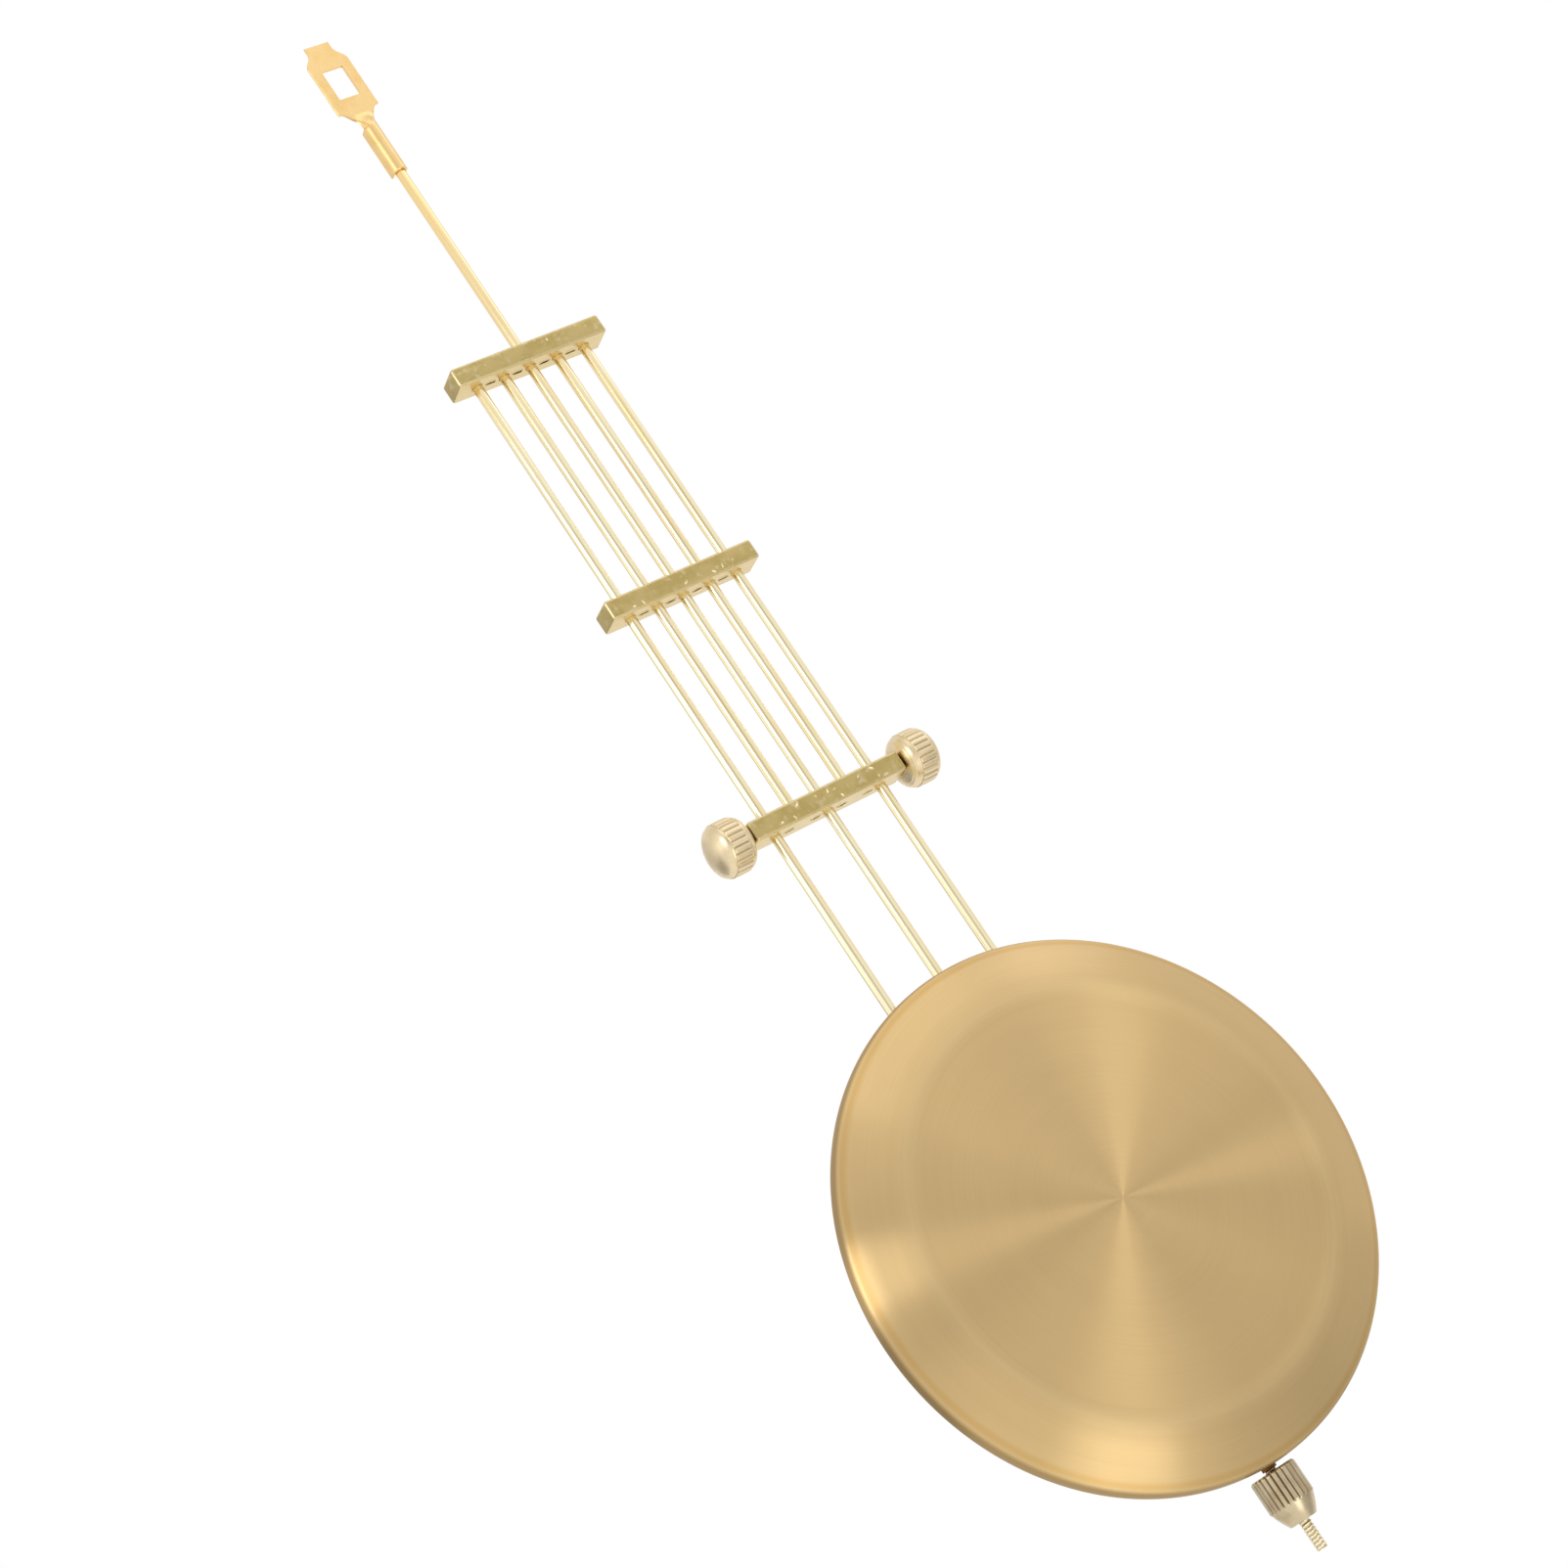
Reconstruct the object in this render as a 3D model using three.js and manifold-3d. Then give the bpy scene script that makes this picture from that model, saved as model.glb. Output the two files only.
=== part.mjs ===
// Clock pendulum: a slotted hanger, a grid of five rods in three crossbars,
// a spun brass bob that slides on the centre rod, and a rating nut under it.
// The origin is the middle of the slot's upper edge, where the pendulum hangs.
// X runs right along the crossbars, Y away from the viewer, Z up along the rods.
// Lengths are in millimetres. A drop is a distance below the origin.
import * as THREE from 'three';
import { mergeVertices } from 'three/addons/utils/BufferGeometryUtils.js';
import Module from 'manifold-3d';

const wasm = await Module();
wasm.setup();

// Hanger, stamped and rolled from one sheet
const hangerSheet = 0.4;
const slotWidth = 3.6;
const slotHeight = 5.4;
const tabWidth = 4.2;
const tabRise = 4.7;
const shoulderRise = 3.5;
const shoulderHeight = 2.4;
const plateWidth = 7;
const taperDrop = 7.8;
const taperHeight = 2.6;
const taperEaseShare = 0.4;
const neckWidth = 2.5;
const rollDrop = 9.3;
const rollHeight = 2;
const sleeveDrop = 11.5;
const sleeveStep = 0.15;
const sleeveLength = 8.5;
const sleeveLeg = 1;

// Rods and the fits around them
const rodDiameter = 1.6;
const rodPitch = 4.67;
const rodTopInset = 0.1;
const gripClearance = 0.03;
const slidingClearance = 0.08;
const seatGap = 0.05;
const outerRodTail = 14;
const threadPitch = 0.55;
const threadDepth = 0.24;
const threadTail = 4.3;
const threadAboveNut = 6.4;

// Crossbars
const barLength = 25.7;
const lowerBarLength = 26.5;
const barHeight = 3.1;
const barDepth = 4.8;
const barChamfer = 0.25;
const upperBarDrop = 55.3;
const middleBarDrop = 96.9;
const lowerBarDrop = 134.7;
const blindFloor = 0.7;
const rodEndRecess = 0.15;
const stakeLength = 1.5;
const stakeWidth = 0.4;
const stakeDepth = 0.4;

// Side knobs and their studs
const knobDiameter = 8.2;
const knobLedge = 0.2;
const knobBandWidth = 2.75;
const knobDomeRise = 1.75;
const knobInnerFaceDiameter = 3;
const knobStandoff = 0.1;
const knobBoreFloor = 0.45;
const knurlDepth = 0.22;
const knurlChamfer = 0.25;
const studDiameter = 2;
const studHoleWall = 0.4;
const studEndGap = 0.2;

// Bob
const bobBelowBar = 29.7;
const bobDiameter = 78.4;
const bobFaceInset = 9.2;
const bobFaceFront = 7.9;
const bobBend = 2.4;
const bobRoundWidth = 2.2;
const bobRoundFront = 5.5;
const bobRimFront = 3;
const bobWall = 0.4;
const hemDepth = 0.85;
const hemRound = 0.7;
const hemWidth = 1.7;
const backPlateThickness = 0.45;
const backPlateEdgeGap = 0.3;
const weightEdgeInset = 2.9;
const weightGap = 0.3;

// Guides behind the bob
const guideHeight = 3.2;
const guideRear = 1.9;
const guideChamfer = 0.2;
const guideEndWidth = 2.7;
const upperGuideInset = 8.2;
const lowerGuideInset = 5.2;
const bushDiameter = 2.6;
const screwDiameter = 1.6;
const screwHeadDiameter = 2.8;
const screwHeadHeight = 0.7;
const screwSlotWidth = 0.4;
const screwSlotDepth = 0.35;
const screwReach = 1.2;
const lowerScrewSpacing = 8;

// Rating nut
const nutRimGap = 0.65;
const nutSeatGap = 0.3;
const nutDiameter = 6.7;
const nutKnurlLength = 4.85;
const nutConeLength = 2.6;
const nutEndDiameter = 4;
const nutChamfer = 0.3;
const nutBulge = 0.1;

// One overrun serves every cut
const cutOverrun = 0.5;

// Counts
const rodSides = 16;
const boreSides = 32;
const sheetColumns = 22;
const curveSteps = 4;
const neckSteps = 6;
const threadRowsPerTurn = 4;
const bobSides = 72;
const weightSides = 48;
const knobRidges = 26;
const nutRidges = 24;
const domeSteps = 4;

// Values worked out from the sizes above
const rodRadius = rodDiameter / 2;
const sleeveRadius = rodRadius + gripClearance + hangerSheet / 2;
const bobRadius = bobDiameter / 2;
const bobFaceRadius = bobRadius - bobFaceInset;
const bobRoundRadius = bobRadius - bobRoundWidth;
const bobSlopeShare = (bobFaceFront - bobRoundFront) / (bobRoundRadius - bobFaceRadius);
const backPlateRear = bobRimFront - hemDepth + bobWall + seatGap;
const backPlateFront = backPlateRear + backPlateThickness;
const weightRear = backPlateFront + seatGap;
const guideFront = backPlateRear - seatGap;
const bobDrop = lowerBarDrop + bobBelowBar + bobRadius;
const bobBottomZ = -bobDrop - bobRadius;
const upperGuideZ = -bobDrop + bobRadius - upperGuideInset;
const lowerGuideZ = bobBottomZ + lowerGuideInset;
const upperGuideLength = 4 * rodPitch + 2 * guideEndWidth;
const lowerGuideLength = lowerScrewSpacing + 2 * guideEndWidth;
const nutTopZ = bobBottomZ - nutRimGap;
const nutLength = nutKnurlLength + nutConeLength;
const bushBottomZ = nutTopZ + nutSeatGap;
const bushLength = lowerGuideZ + guideHeight / 2 + seatGap - bushBottomZ;
const threadLength = threadAboveNut + nutLength + threadTail;
const studHoleDepth = lowerBarLength / 2 - 2 * rodPitch - rodRadius - gripClearance - studHoleWall;
const knobBandStart = knobStandoff + knobDomeRise;
const knobBandEnd = knobBandStart + knobBandWidth;
const knobBoreEnd = knobBandEnd - knobBoreFloor;
const centreRodTopZ = -sleeveDrop - rodTopInset;
const centreRodBottomZ = nutTopZ - nutLength - threadTail;
const rodNumbers = [-2, -1, 0, 1, 2];
const stakeNumbers = [-1.5, -0.5, 0.5, 1.5];

// Turns a geometry's faces outward and leaves only merged positions
function closedGeometry(geometry) {
  const bare = geometry.index ? geometry.toNonIndexed() : geometry.clone();
  bare.deleteAttribute('normal');
  bare.deleteAttribute('uv');
  const merged = mergeVertices(bare, 1e-5);
  const place = merged.attributes.position;
  const order = Array.from(merged.index.array);
  const corners = [new THREE.Vector3(), new THREE.Vector3(), new THREE.Vector3()];
  const kept = [];
  let volume = 0;
  for (let i = 0; i < order.length; i += 3) {
    const [a, b, c] = order.slice(i, i + 3);
    if (a === b || b === c || c === a) continue;
    corners[0].fromBufferAttribute(place, a);
    corners[1].fromBufferAttribute(place, b);
    corners[2].fromBufferAttribute(place, c);
    volume += corners[0].dot(corners[1].cross(corners[2]));
    kept.push([a, b, c]);
  }
  const outward = volume < 0 ? kept.map(([a, b, c]) => [a, c, b]) : kept;
  merged.setIndex(outward.flat());
  return merged;
}

// A closed geometry as a solid that can be cut and joined
function toSolid(geometry) {
  const closed = closedGeometry(geometry);
  return new wasm.Manifold(new wasm.Mesh({
    numProp: 3,
    vertProperties: Float32Array.from(closed.attributes.position.array),
    triVerts: Uint32Array.from(closed.index.array),
  }));
}

// A solid back as a geometry
function toGeometry(solid) {
  const mesh = solid.getMesh();
  const geometry = new THREE.BufferGeometry();
  geometry.setAttribute('position', new THREE.BufferAttribute(new Float32Array(mesh.vertProperties), 3));
  geometry.setIndex(Array.from(mesh.triVerts));
  return geometry;
}

// A solid less every tool in a list
function cutAway(body, tools) {
  return toGeometry(tools.reduce((solid, tool) => solid.subtract(toSolid(tool)), toSolid(body)));
}

// A share kept between 0 and 1
function limitedShare(share) {
  return Math.min(Math.max(share, 0), 1);
}

// Runs from 0 to 1 with level ends
function smoothShare(share) {
  const held = limitedShare(share);
  return held * held * (3 - 2 * held);
}

// A round bar along Z between two heights
function barAlongZ(radius, lowZ, highZ, sides) {
  const geometry = new THREE.CylinderGeometry(radius, radius, highZ - lowZ, sides);
  geometry.rotateX(Math.PI / 2);
  geometry.translate(0, 0, (lowZ + highZ) / 2);
  return geometry;
}

// A grid of points wrapped round an axis; rows close on themselves, or end in a point on the axis
function wrappedGrid(rows, columns, pointAt, loop) {
  const places = [];
  const faces = [];
  for (let row = 0; row < rows; row += 1) {
    for (let column = 0; column < columns; column += 1) places.push(...pointAt(row, column));
  }
  const lastRow = loop ? rows : rows - 1;
  for (let row = 0; row < lastRow; row += 1) {
    const next = (row + 1) % rows;
    for (let column = 0; column < columns; column += 1) {
      const beside = (column + 1) % columns;
      const a = row * columns + column;
      const b = row * columns + beside;
      const c = next * columns + beside;
      const d = next * columns + column;
      faces.push(a, b, c, a, c, d);
    }
  }
  const geometry = new THREE.BufferGeometry();
  geometry.setAttribute('position', new THREE.Float32BufferAttribute(places, 3));
  geometry.setIndex(faces);
  return geometry;
}

// A turned piece along X from a profile of [along, radius, knurl share] with straight ridges
function turnedAlongX(profile, ridges, depth, loop) {
  const columns = ridges * 2;
  return wrappedGrid(profile.length, columns, (row, column) => {
    const [along, radius, knurlShare] = profile[row];
    const reach = radius - depth * knurlShare * (column % 2);
    const angle = (2 * Math.PI * column) / columns;
    return [along, reach * Math.cos(angle), reach * Math.sin(angle)];
  }, loop);
}

// Half width of the hanger's flat outline at a height: tab, rounded shoulders, and a sharp step to the neck
function hangerHalfWidth(z) {
  const shoulderShare = smoothShare((shoulderRise - z) / shoulderHeight);
  const taperShare = limitedShare((-taperDrop - z) / taperHeight) ** taperEaseShare;
  const widened = tabWidth + (plateWidth - tabWidth) * shoulderShare;
  return (widened - (plateWidth - neckWidth) * taperShare) / 2;
}

// Heights of the hanger's rows, close together where its outline or its roll changes
function hangerRows() {
  const rows = [];
  const spread = (high, low, steps, power = 1) => {
    for (let i = 0; i < steps; i += 1) rows.push(high + (low - high) * (i / steps) ** power);
  };
  spread(tabRise, shoulderRise, 1);
  spread(shoulderRise, shoulderRise - shoulderHeight, neckSteps);
  spread(shoulderRise - shoulderHeight, -taperDrop, 1);
  spread(-taperDrop, -rollDrop, neckSteps, 2);
  spread(-rollDrop, -rollDrop - rollHeight, neckSteps);
  rows.push(-rollDrop - rollHeight, -sleeveDrop + sleeveStep);
  return rows;
}

// Middle of the sheet and its front normal at a distance across it, flat or rolled round the rod
function hangerPoint(across, rollShare) {
  const arc = (sleeveRadius * Math.PI) / 2;
  const turn = Math.min(Math.max(across / sleeveRadius, -Math.PI / 2), Math.PI / 2);
  const leg = Math.max(Math.abs(across) - arc, 0);
  const rolledX = sleeveRadius * Math.sin(turn);
  const rolledY = -sleeveRadius * Math.cos(turn) + leg;
  return {
    x: across + (rolledX - across) * rollShare,
    y: rolledY * rollShare,
    turn: turn * rollShare,
  };
}

// Hanger: flat slotted plate, then a neck that rolls into an open sleeve gripping the centre rod
function hangerPlate() {
  const rows = hangerRows().map((z) => [z, hangerHalfWidth(z), smoothShare((-rollDrop - z) / rollHeight)]);
  const sleeveHalfWidth = (sleeveRadius * Math.PI) / 2 + sleeveLeg;
  rows.push([-sleeveDrop, sleeveHalfWidth, 1], [-sleeveDrop - sleeveLength, sleeveHalfWidth, 1]);
  const side = sheetColumns + 1;
  const sheet = wrappedGrid(rows.length, side * 2, (row, column) => {
    const [z, halfWidth, rollShare] = rows[row];
    const front = column < side;
    const step = front ? column : 2 * side - 1 - column;
    const across = halfWidth * ((2 * step) / sheetColumns - 1);
    const { x, y, turn } = hangerPoint(across, rollShare);
    const offset = (front ? hangerSheet : -hangerSheet) / 2;
    return [x + Math.sin(turn) * offset, y - Math.cos(turn) * offset, z];
  }, false);
  closeSheetEnds(sheet, rows.length, side);
  const slot = new THREE.BoxGeometry(slotWidth, hangerSheet + 2 * cutOverrun, slotHeight);
  slot.translate(0, 0, -slotHeight / 2);
  return cutAway(sheet, [slot]);
}

// Adds the two end faces of a sheet whose rows run along the front and back along the rear
function closeSheetEnds(sheet, rowCount, side) {
  const faces = Array.from(sheet.index.array);
  const columns = side * 2;
  for (const [row, flipped] of [[0, true], [rowCount - 1, false]]) {
    for (let step = 0; step < side - 1; step += 1) {
      const a = row * columns + step;
      const b = a + 1;
      const c = row * columns + columns - 2 - step;
      const d = c + 1;
      if (flipped) faces.push(a, c, b, a, d, c);
      else faces.push(a, b, c, a, c, d);
    }
  }
  sheet.setIndex(faces);
}

// Centre rod: plain down to the bob, then a screw thread cut into its lower end
function centreRod() {
  const rows = [[centreRodTopZ, 0], [centreRodTopZ, 1]];
  const threadTopZ = centreRodBottomZ + threadLength;
  const steps = Math.round((threadLength / threadPitch) * threadRowsPerTurn);
  for (let i = 0; i <= steps; i += 1) rows.push([threadTopZ - (threadLength * i) / steps, 1]);
  rows.push([centreRodBottomZ, 0]);
  return wrappedGrid(rows.length, rodSides, (row, column) => {
    const [z, spread] = rows[row];
    const turnShare = column / rodSides;
    const phase = (((z - centreRodBottomZ) / threadPitch - turnShare) % 1 + 1) % 1;
    const nearEnd = Math.min(threadTopZ - z, z - centreRodBottomZ) / threadPitch;
    const cutShare = Math.min(Math.max(nearEnd, 0), 1) * (1 - Math.abs(2 * phase - 1));
    const reach = spread * (rodRadius - threadDepth * cutShare);
    return [reach * Math.cos(2 * Math.PI * turnShare), reach * Math.sin(2 * Math.PI * turnShare), z];
  }, false);
}

// One plain rod of the grid, between two heights
function gridRod(topZ, bottomZ) {
  return barAlongZ(rodRadius, bottomZ, topZ, rodSides);
}

// A block with its edges broken, centred on the rods' plane unless its front and rear differ
function brokenBlock(length, front, rear, height, chamfer) {
  const halfLength = length / 2;
  const outline = new THREE.Shape([
    new THREE.Vector2(-halfLength + chamfer, -front),
    new THREE.Vector2(halfLength - chamfer, -front),
    new THREE.Vector2(halfLength, -front + chamfer),
    new THREE.Vector2(halfLength, rear - chamfer),
    new THREE.Vector2(halfLength - chamfer, rear),
    new THREE.Vector2(-halfLength + chamfer, rear),
    new THREE.Vector2(-halfLength, rear - chamfer),
    new THREE.Vector2(-halfLength, -front + chamfer),
  ]);
  const block = new THREE.ExtrudeGeometry(outline, {
    depth: height - 2 * chamfer,
    bevelThickness: chamfer,
    bevelSize: chamfer,
    bevelOffset: -chamfer,
    bevelSegments: 1,
  });
  block.translate(0, 0, -height / 2 + chamfer);
  return block;
}

// Chisel mark struck into a crossbar's underside beside a rod, to lock it
function stakeMark(x) {
  const wedge = new THREE.Shape([
    new THREE.Vector2(-stakeWidth / 2, -cutOverrun),
    new THREE.Vector2(stakeWidth / 2, -cutOverrun),
    new THREE.Vector2(stakeWidth / 2, 0),
    new THREE.Vector2(0, stakeDepth),
    new THREE.Vector2(-stakeWidth / 2, 0),
  ]);
  const mark = new THREE.ExtrudeGeometry(wedge, { depth: stakeLength, bevelEnabled: false });
  mark.rotateX(Math.PI / 2);
  mark.rotateZ(Math.PI / 2);
  mark.translate(x - stakeLength / 2, 0, -barHeight / 2);
  return mark;
}

// Crossbar with a hole for each rod, blind for those that end in it, and four stake marks
function crossbar(length, blindNumbers, studHoles) {
  const block = brokenBlock(length, barDepth / 2, barDepth / 2, barHeight, barChamfer);
  const holeRadius = rodRadius + gripClearance;
  const top = barHeight / 2 + cutOverrun;
  const tools = rodNumbers.map((number) => {
    const floor = blindNumbers.includes(number) ? -barHeight / 2 + blindFloor : -top;
    const hole = barAlongZ(holeRadius, floor, top, rodSides);
    hole.translate(number * rodPitch, 0, 0);
    return hole;
  });
  for (const number of stakeNumbers) tools.push(stakeMark(number * rodPitch));
  if (studHoles) {
    for (const side of [-1, 1]) {
      const reach = studHoleDepth + cutOverrun;
      const hole = barAlongX(studDiameter / 2 + gripClearance, reach, boreSides);
      hole.translate(side * (length / 2 + cutOverrun - reach / 2), 0, 0);
      tools.push(hole);
    }
  }
  return cutAway(block, tools);
}

// A round bar along X, centred on the origin
function barAlongX(radius, length, sides) {
  const geometry = new THREE.CylinderGeometry(radius, radius, length, sides);
  geometry.rotateZ(Math.PI / 2);
  return geometry;
}

// Stud that joins a side knob to the lower crossbar
function knobStud() {
  const inner = -studHoleDepth + studEndGap;
  const outer = knobBoreEnd - studEndGap;
  const stud = barAlongX(studDiameter / 2, outer - inner, rodSides);
  stud.translate((inner + outer) / 2, 0, 0);
  return stud;
}

// Side knob: a low dome with a flat middle, a knurled band and a second dome, bored for its stud
function sideKnob() {
  const domeRadius = knobDiameter / 2 - knobLedge;
  const boreRadius = studDiameter / 2 + gripClearance;
  const flatAngle = Math.acos(knobInnerFaceDiameter / 2 / domeRadius);
  const flatStart = knobBandStart - knobDomeRise * Math.sin(flatAngle);
  const profile = [[knobBoreEnd, 0, 0], [knobBoreEnd, boreRadius, 0], [flatStart, boreRadius, 0]];
  for (let i = 0; i <= domeSteps; i += 1) {
    const angle = flatAngle * (1 - i / domeSteps);
    profile.push([knobBandStart - knobDomeRise * Math.sin(angle), domeRadius * Math.cos(angle), 0]);
  }
  profile.push([knobBandStart + knurlChamfer, knobDiameter / 2, 1]);
  profile.push([knobBandEnd - knurlChamfer, knobDiameter / 2, 1]);
  for (let i = 0; i <= domeSteps; i += 1) {
    const angle = (Math.PI / 2) * (i / domeSteps);
    profile.push([knobBandEnd + knobDomeRise * Math.sin(angle), domeRadius * Math.cos(angle), 0]);
  }
  return turnedAlongX(profile, knobRidges, knurlDepth, false);
}

// Rating nut: knurled barrel with a rounded cone below, bored to run on the thread
function ratingNut() {
  const boreRadius = rodRadius + slidingClearance;
  const radius = nutDiameter / 2;
  const endRadius = nutEndDiameter / 2;
  const profile = [[0, boreRadius, 0], [0, radius - nutChamfer, 0], [nutChamfer, radius, 1]];
  profile.push([nutKnurlLength - nutChamfer, radius, 1], [nutKnurlLength, radius - nutChamfer, 0]);
  for (let i = 1; i <= domeSteps; i += 1) {
    const share = i / domeSteps;
    const straight = radius - nutChamfer + (endRadius - radius + nutChamfer) * share;
    const bulge = nutBulge * Math.sin(Math.PI * share);
    profile.push([nutKnurlLength + nutConeLength * share, straight + bulge, 0]);
  }
  profile.push([nutLength, boreRadius, 0]);
  const nut = turnedAlongX(profile, nutRidges, knurlDepth, true);
  nut.rotateY(Math.PI / 2);
  return nut;
}

// Outer line of the bob's shell as [radius, y]: face, bend, shoulder, rim and hem
function bobOutline() {
  const bendY = bobFaceFront - bobSlopeShare * bobBend;
  const roundDrop = bobRoundWidth * bobSlopeShare;
  const hemY = bobRimFront - hemDepth;
  const path = new THREE.Path();
  path.moveTo(0, -bobFaceFront);
  path.lineTo(bobFaceRadius - bobBend, -bobFaceFront);
  path.quadraticCurveTo(bobFaceRadius, -bobFaceFront, bobFaceRadius + bobBend, -bendY);
  path.lineTo(bobRoundRadius, -bobRoundFront);
  path.bezierCurveTo(
    bobRoundRadius + bobRoundWidth / 2, -bobRoundFront + roundDrop / 2,
    bobRadius, -bobRimFront - roundDrop - hemDepth / 2, bobRadius, -bobRimFront,
  );
  path.quadraticCurveTo(bobRadius, -hemY, bobRadius - hemRound, -hemY);
  path.lineTo(bobRadius - hemWidth, -hemY);
  return path.getPoints(curveSteps);
}

// Points of an open line moved sideways by a distance
function movedSideways(points, distance) {
  return points.map((point, i) => {
    const before = points[Math.max(i - 1, 0)];
    const after = points[Math.min(i + 1, points.length - 1)];
    const along = after.clone().sub(before).normalize();
    return new THREE.Vector2(point.x - along.y * distance, point.y + along.x * distance);
  });
}

// Front shell of the bob, spun from sheet and rolled over behind the back plate
function bobShell() {
  const outer = bobOutline();
  const inner = movedSideways(outer, bobWall);
  inner[0].x = 0;
  return new THREE.LatheGeometry([...outer, ...inner.reverse()], bobSides);
}

// Iron disc that gives the bob its mass, shaped to lie inside the shell
function bobWeight() {
  const front = bobFaceFront - bobWall - weightGap;
  const face = bobFaceRadius - bobBend;
  const radius = bobRadius - weightEdgeInset;
  const edgeFront = front - bobSlopeShare * (radius - face);
  const disc = new THREE.LatheGeometry([
    new THREE.Vector2(0, -front),
    new THREE.Vector2(face, -front),
    new THREE.Vector2(radius, -edgeFront),
    new THREE.Vector2(radius, -weightRear),
    new THREE.Vector2(0, -weightRear),
  ], weightSides);
  return cutAway(disc, screwPlaces().map(([x, z]) => screwHole(x, z + bobDrop)));
}

// Thin disc that closes the bob behind
function bobBackPlate() {
  const radius = bobRadius - bobWall - backPlateEdgeGap;
  const plate = new THREE.LatheGeometry([
    new THREE.Vector2(0, -backPlateFront),
    new THREE.Vector2(radius, -backPlateFront),
    new THREE.Vector2(radius, -backPlateRear),
    new THREE.Vector2(0, -backPlateRear),
  ], bobSides);
  return cutAway(plate, screwPlaces().map(([x, z]) => screwHole(x, z + bobDrop)));
}

// Places of the four guide screws, as [x, z]
function screwPlaces() {
  return [
    [-rodPitch, upperGuideZ],
    [rodPitch, upperGuideZ],
    [-lowerScrewSpacing / 2, lowerGuideZ],
    [lowerScrewSpacing / 2, lowerGuideZ],
  ];
}

// Hole for a guide screw, from behind the guides into the weight
function screwHole(x, z) {
  const front = weightRear + screwReach + studEndGap;
  const rear = guideRear + cutOverrun;
  const hole = new THREE.CylinderGeometry(
    screwDiameter / 2 + gripClearance, screwDiameter / 2 + gripClearance, front + rear, rodSides,
  );
  hole.translate(x, (rear - front) / 2, z);
  return hole;
}

// Guide block behind the bob, with running holes for its rods or its bush
function guideBlock(length, holes, screws) {
  const block = brokenBlock(length, guideFront, guideRear, guideHeight, guideChamfer);
  const reach = guideHeight / 2 + cutOverrun;
  const tools = holes.map(([x, radius]) => {
    const hole = barAlongZ(radius, -reach, reach, boreSides);
    hole.translate(x, 0, 0);
    return hole;
  });
  return cutAway(block, [...tools, ...screws.map((x) => screwHole(x, 0))]);
}

// Upper guide: the two outer rods and the centre rod slide through it
function upperGuide() {
  const radius = rodRadius + slidingClearance;
  return guideBlock(upperGuideLength, [-2, 0, 2].map((n) => [n * rodPitch, radius]), [-rodPitch, rodPitch]);
}

// Lower guide: holds the bush round the centre rod
function lowerGuide() {
  const radius = bushDiameter / 2 + gripClearance;
  return guideBlock(lowerGuideLength, [[0, radius]], [-lowerScrewSpacing / 2, lowerScrewSpacing / 2]);
}

// Bush that slides on the centre rod and rests on the rating nut
function guideBush() {
  const inner = rodRadius + slidingClearance;
  const outer = bushDiameter / 2;
  const bush = new THREE.LatheGeometry([
    new THREE.Vector2(inner, 0),
    new THREE.Vector2(outer, 0),
    new THREE.Vector2(outer, bushLength),
    new THREE.Vector2(inner, bushLength),
    new THREE.Vector2(inner, 0),
  ], boreSides);
  bush.rotateX(Math.PI / 2);
  return bush;
}

// Slotted screw that holds a guide, with its head towards the rear
function guideScrew() {
  const headRear = guideRear + seatGap + screwHeadHeight;
  const tip = -(weightRear + screwReach);
  const screw = new THREE.LatheGeometry([
    new THREE.Vector2(0, tip),
    new THREE.Vector2(screwDiameter / 2, tip),
    new THREE.Vector2(screwDiameter / 2, guideRear + seatGap),
    new THREE.Vector2(screwHeadDiameter / 2, guideRear + seatGap),
    new THREE.Vector2(screwHeadDiameter / 2, headRear - screwSlotDepth),
    new THREE.Vector2(screwHeadDiameter / 2 - screwSlotDepth, headRear),
    new THREE.Vector2(0, headRear),
  ], rodSides);
  const slot = new THREE.BoxGeometry(screwHeadDiameter + cutOverrun, 2 * screwSlotDepth, screwSlotWidth);
  slot.translate(0, headRear, 0);
  return cutAway(screw, [slot]);
}

// Finishes, one for each kind of surface
function brass(color, roughness) {
  return new THREE.MeshStandardMaterial({ color, roughness, metalness: 1 });
}
const hangerBrass = brass(0xf0cb86, 0.4);
const rodBrass = brass(0xe3cf9a, 0.25);
const barBrass = brass(0xbba668, 0.35);
const knobBrass = brass(0xd8c08a, 0.3);
const nutBrass = brass(0xb59e78, 0.35);
const bobBrass = brass(0xc8a970, 0.35);
const backBrass = brass(0xb79c66, 0.45);
const castIron = brass(0x6e6b66, 0.7);
const screwSteel = brass(0xb9b6ae, 0.35);

const pendulum = new THREE.Group();

// Adds a named piece and sets it in its place
function addPiece(name, geometry, material, x, z) {
  const mesh = new THREE.Mesh(closedGeometry(geometry), material.clone());
  mesh.name = name;
  mesh.position.set(x, 0, z);
  pendulum.add(mesh);
  return mesh;
}

addPiece('hanger_plate', hangerPlate(), hangerBrass, 0, 0);
addPiece('centre_rod', centreRod(), rodBrass, 0, 0);

const gridTopZ = -upperBarDrop + barHeight / 2 - rodEndRecess;
const innerRodBottomZ = -lowerBarDrop - barHeight / 2 + blindFloor + rodEndRecess;
const outerRodBottomZ = upperGuideZ - guideHeight / 2 - outerRodTail;
addPiece('outer_rod_left', gridRod(gridTopZ, outerRodBottomZ), rodBrass, -2 * rodPitch, 0);
addPiece('inner_rod_left', gridRod(gridTopZ, innerRodBottomZ), rodBrass, -rodPitch, 0);
addPiece('inner_rod_right', gridRod(gridTopZ, innerRodBottomZ), rodBrass, rodPitch, 0);
addPiece('outer_rod_right', gridRod(gridTopZ, outerRodBottomZ), rodBrass, 2 * rodPitch, 0);

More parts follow.
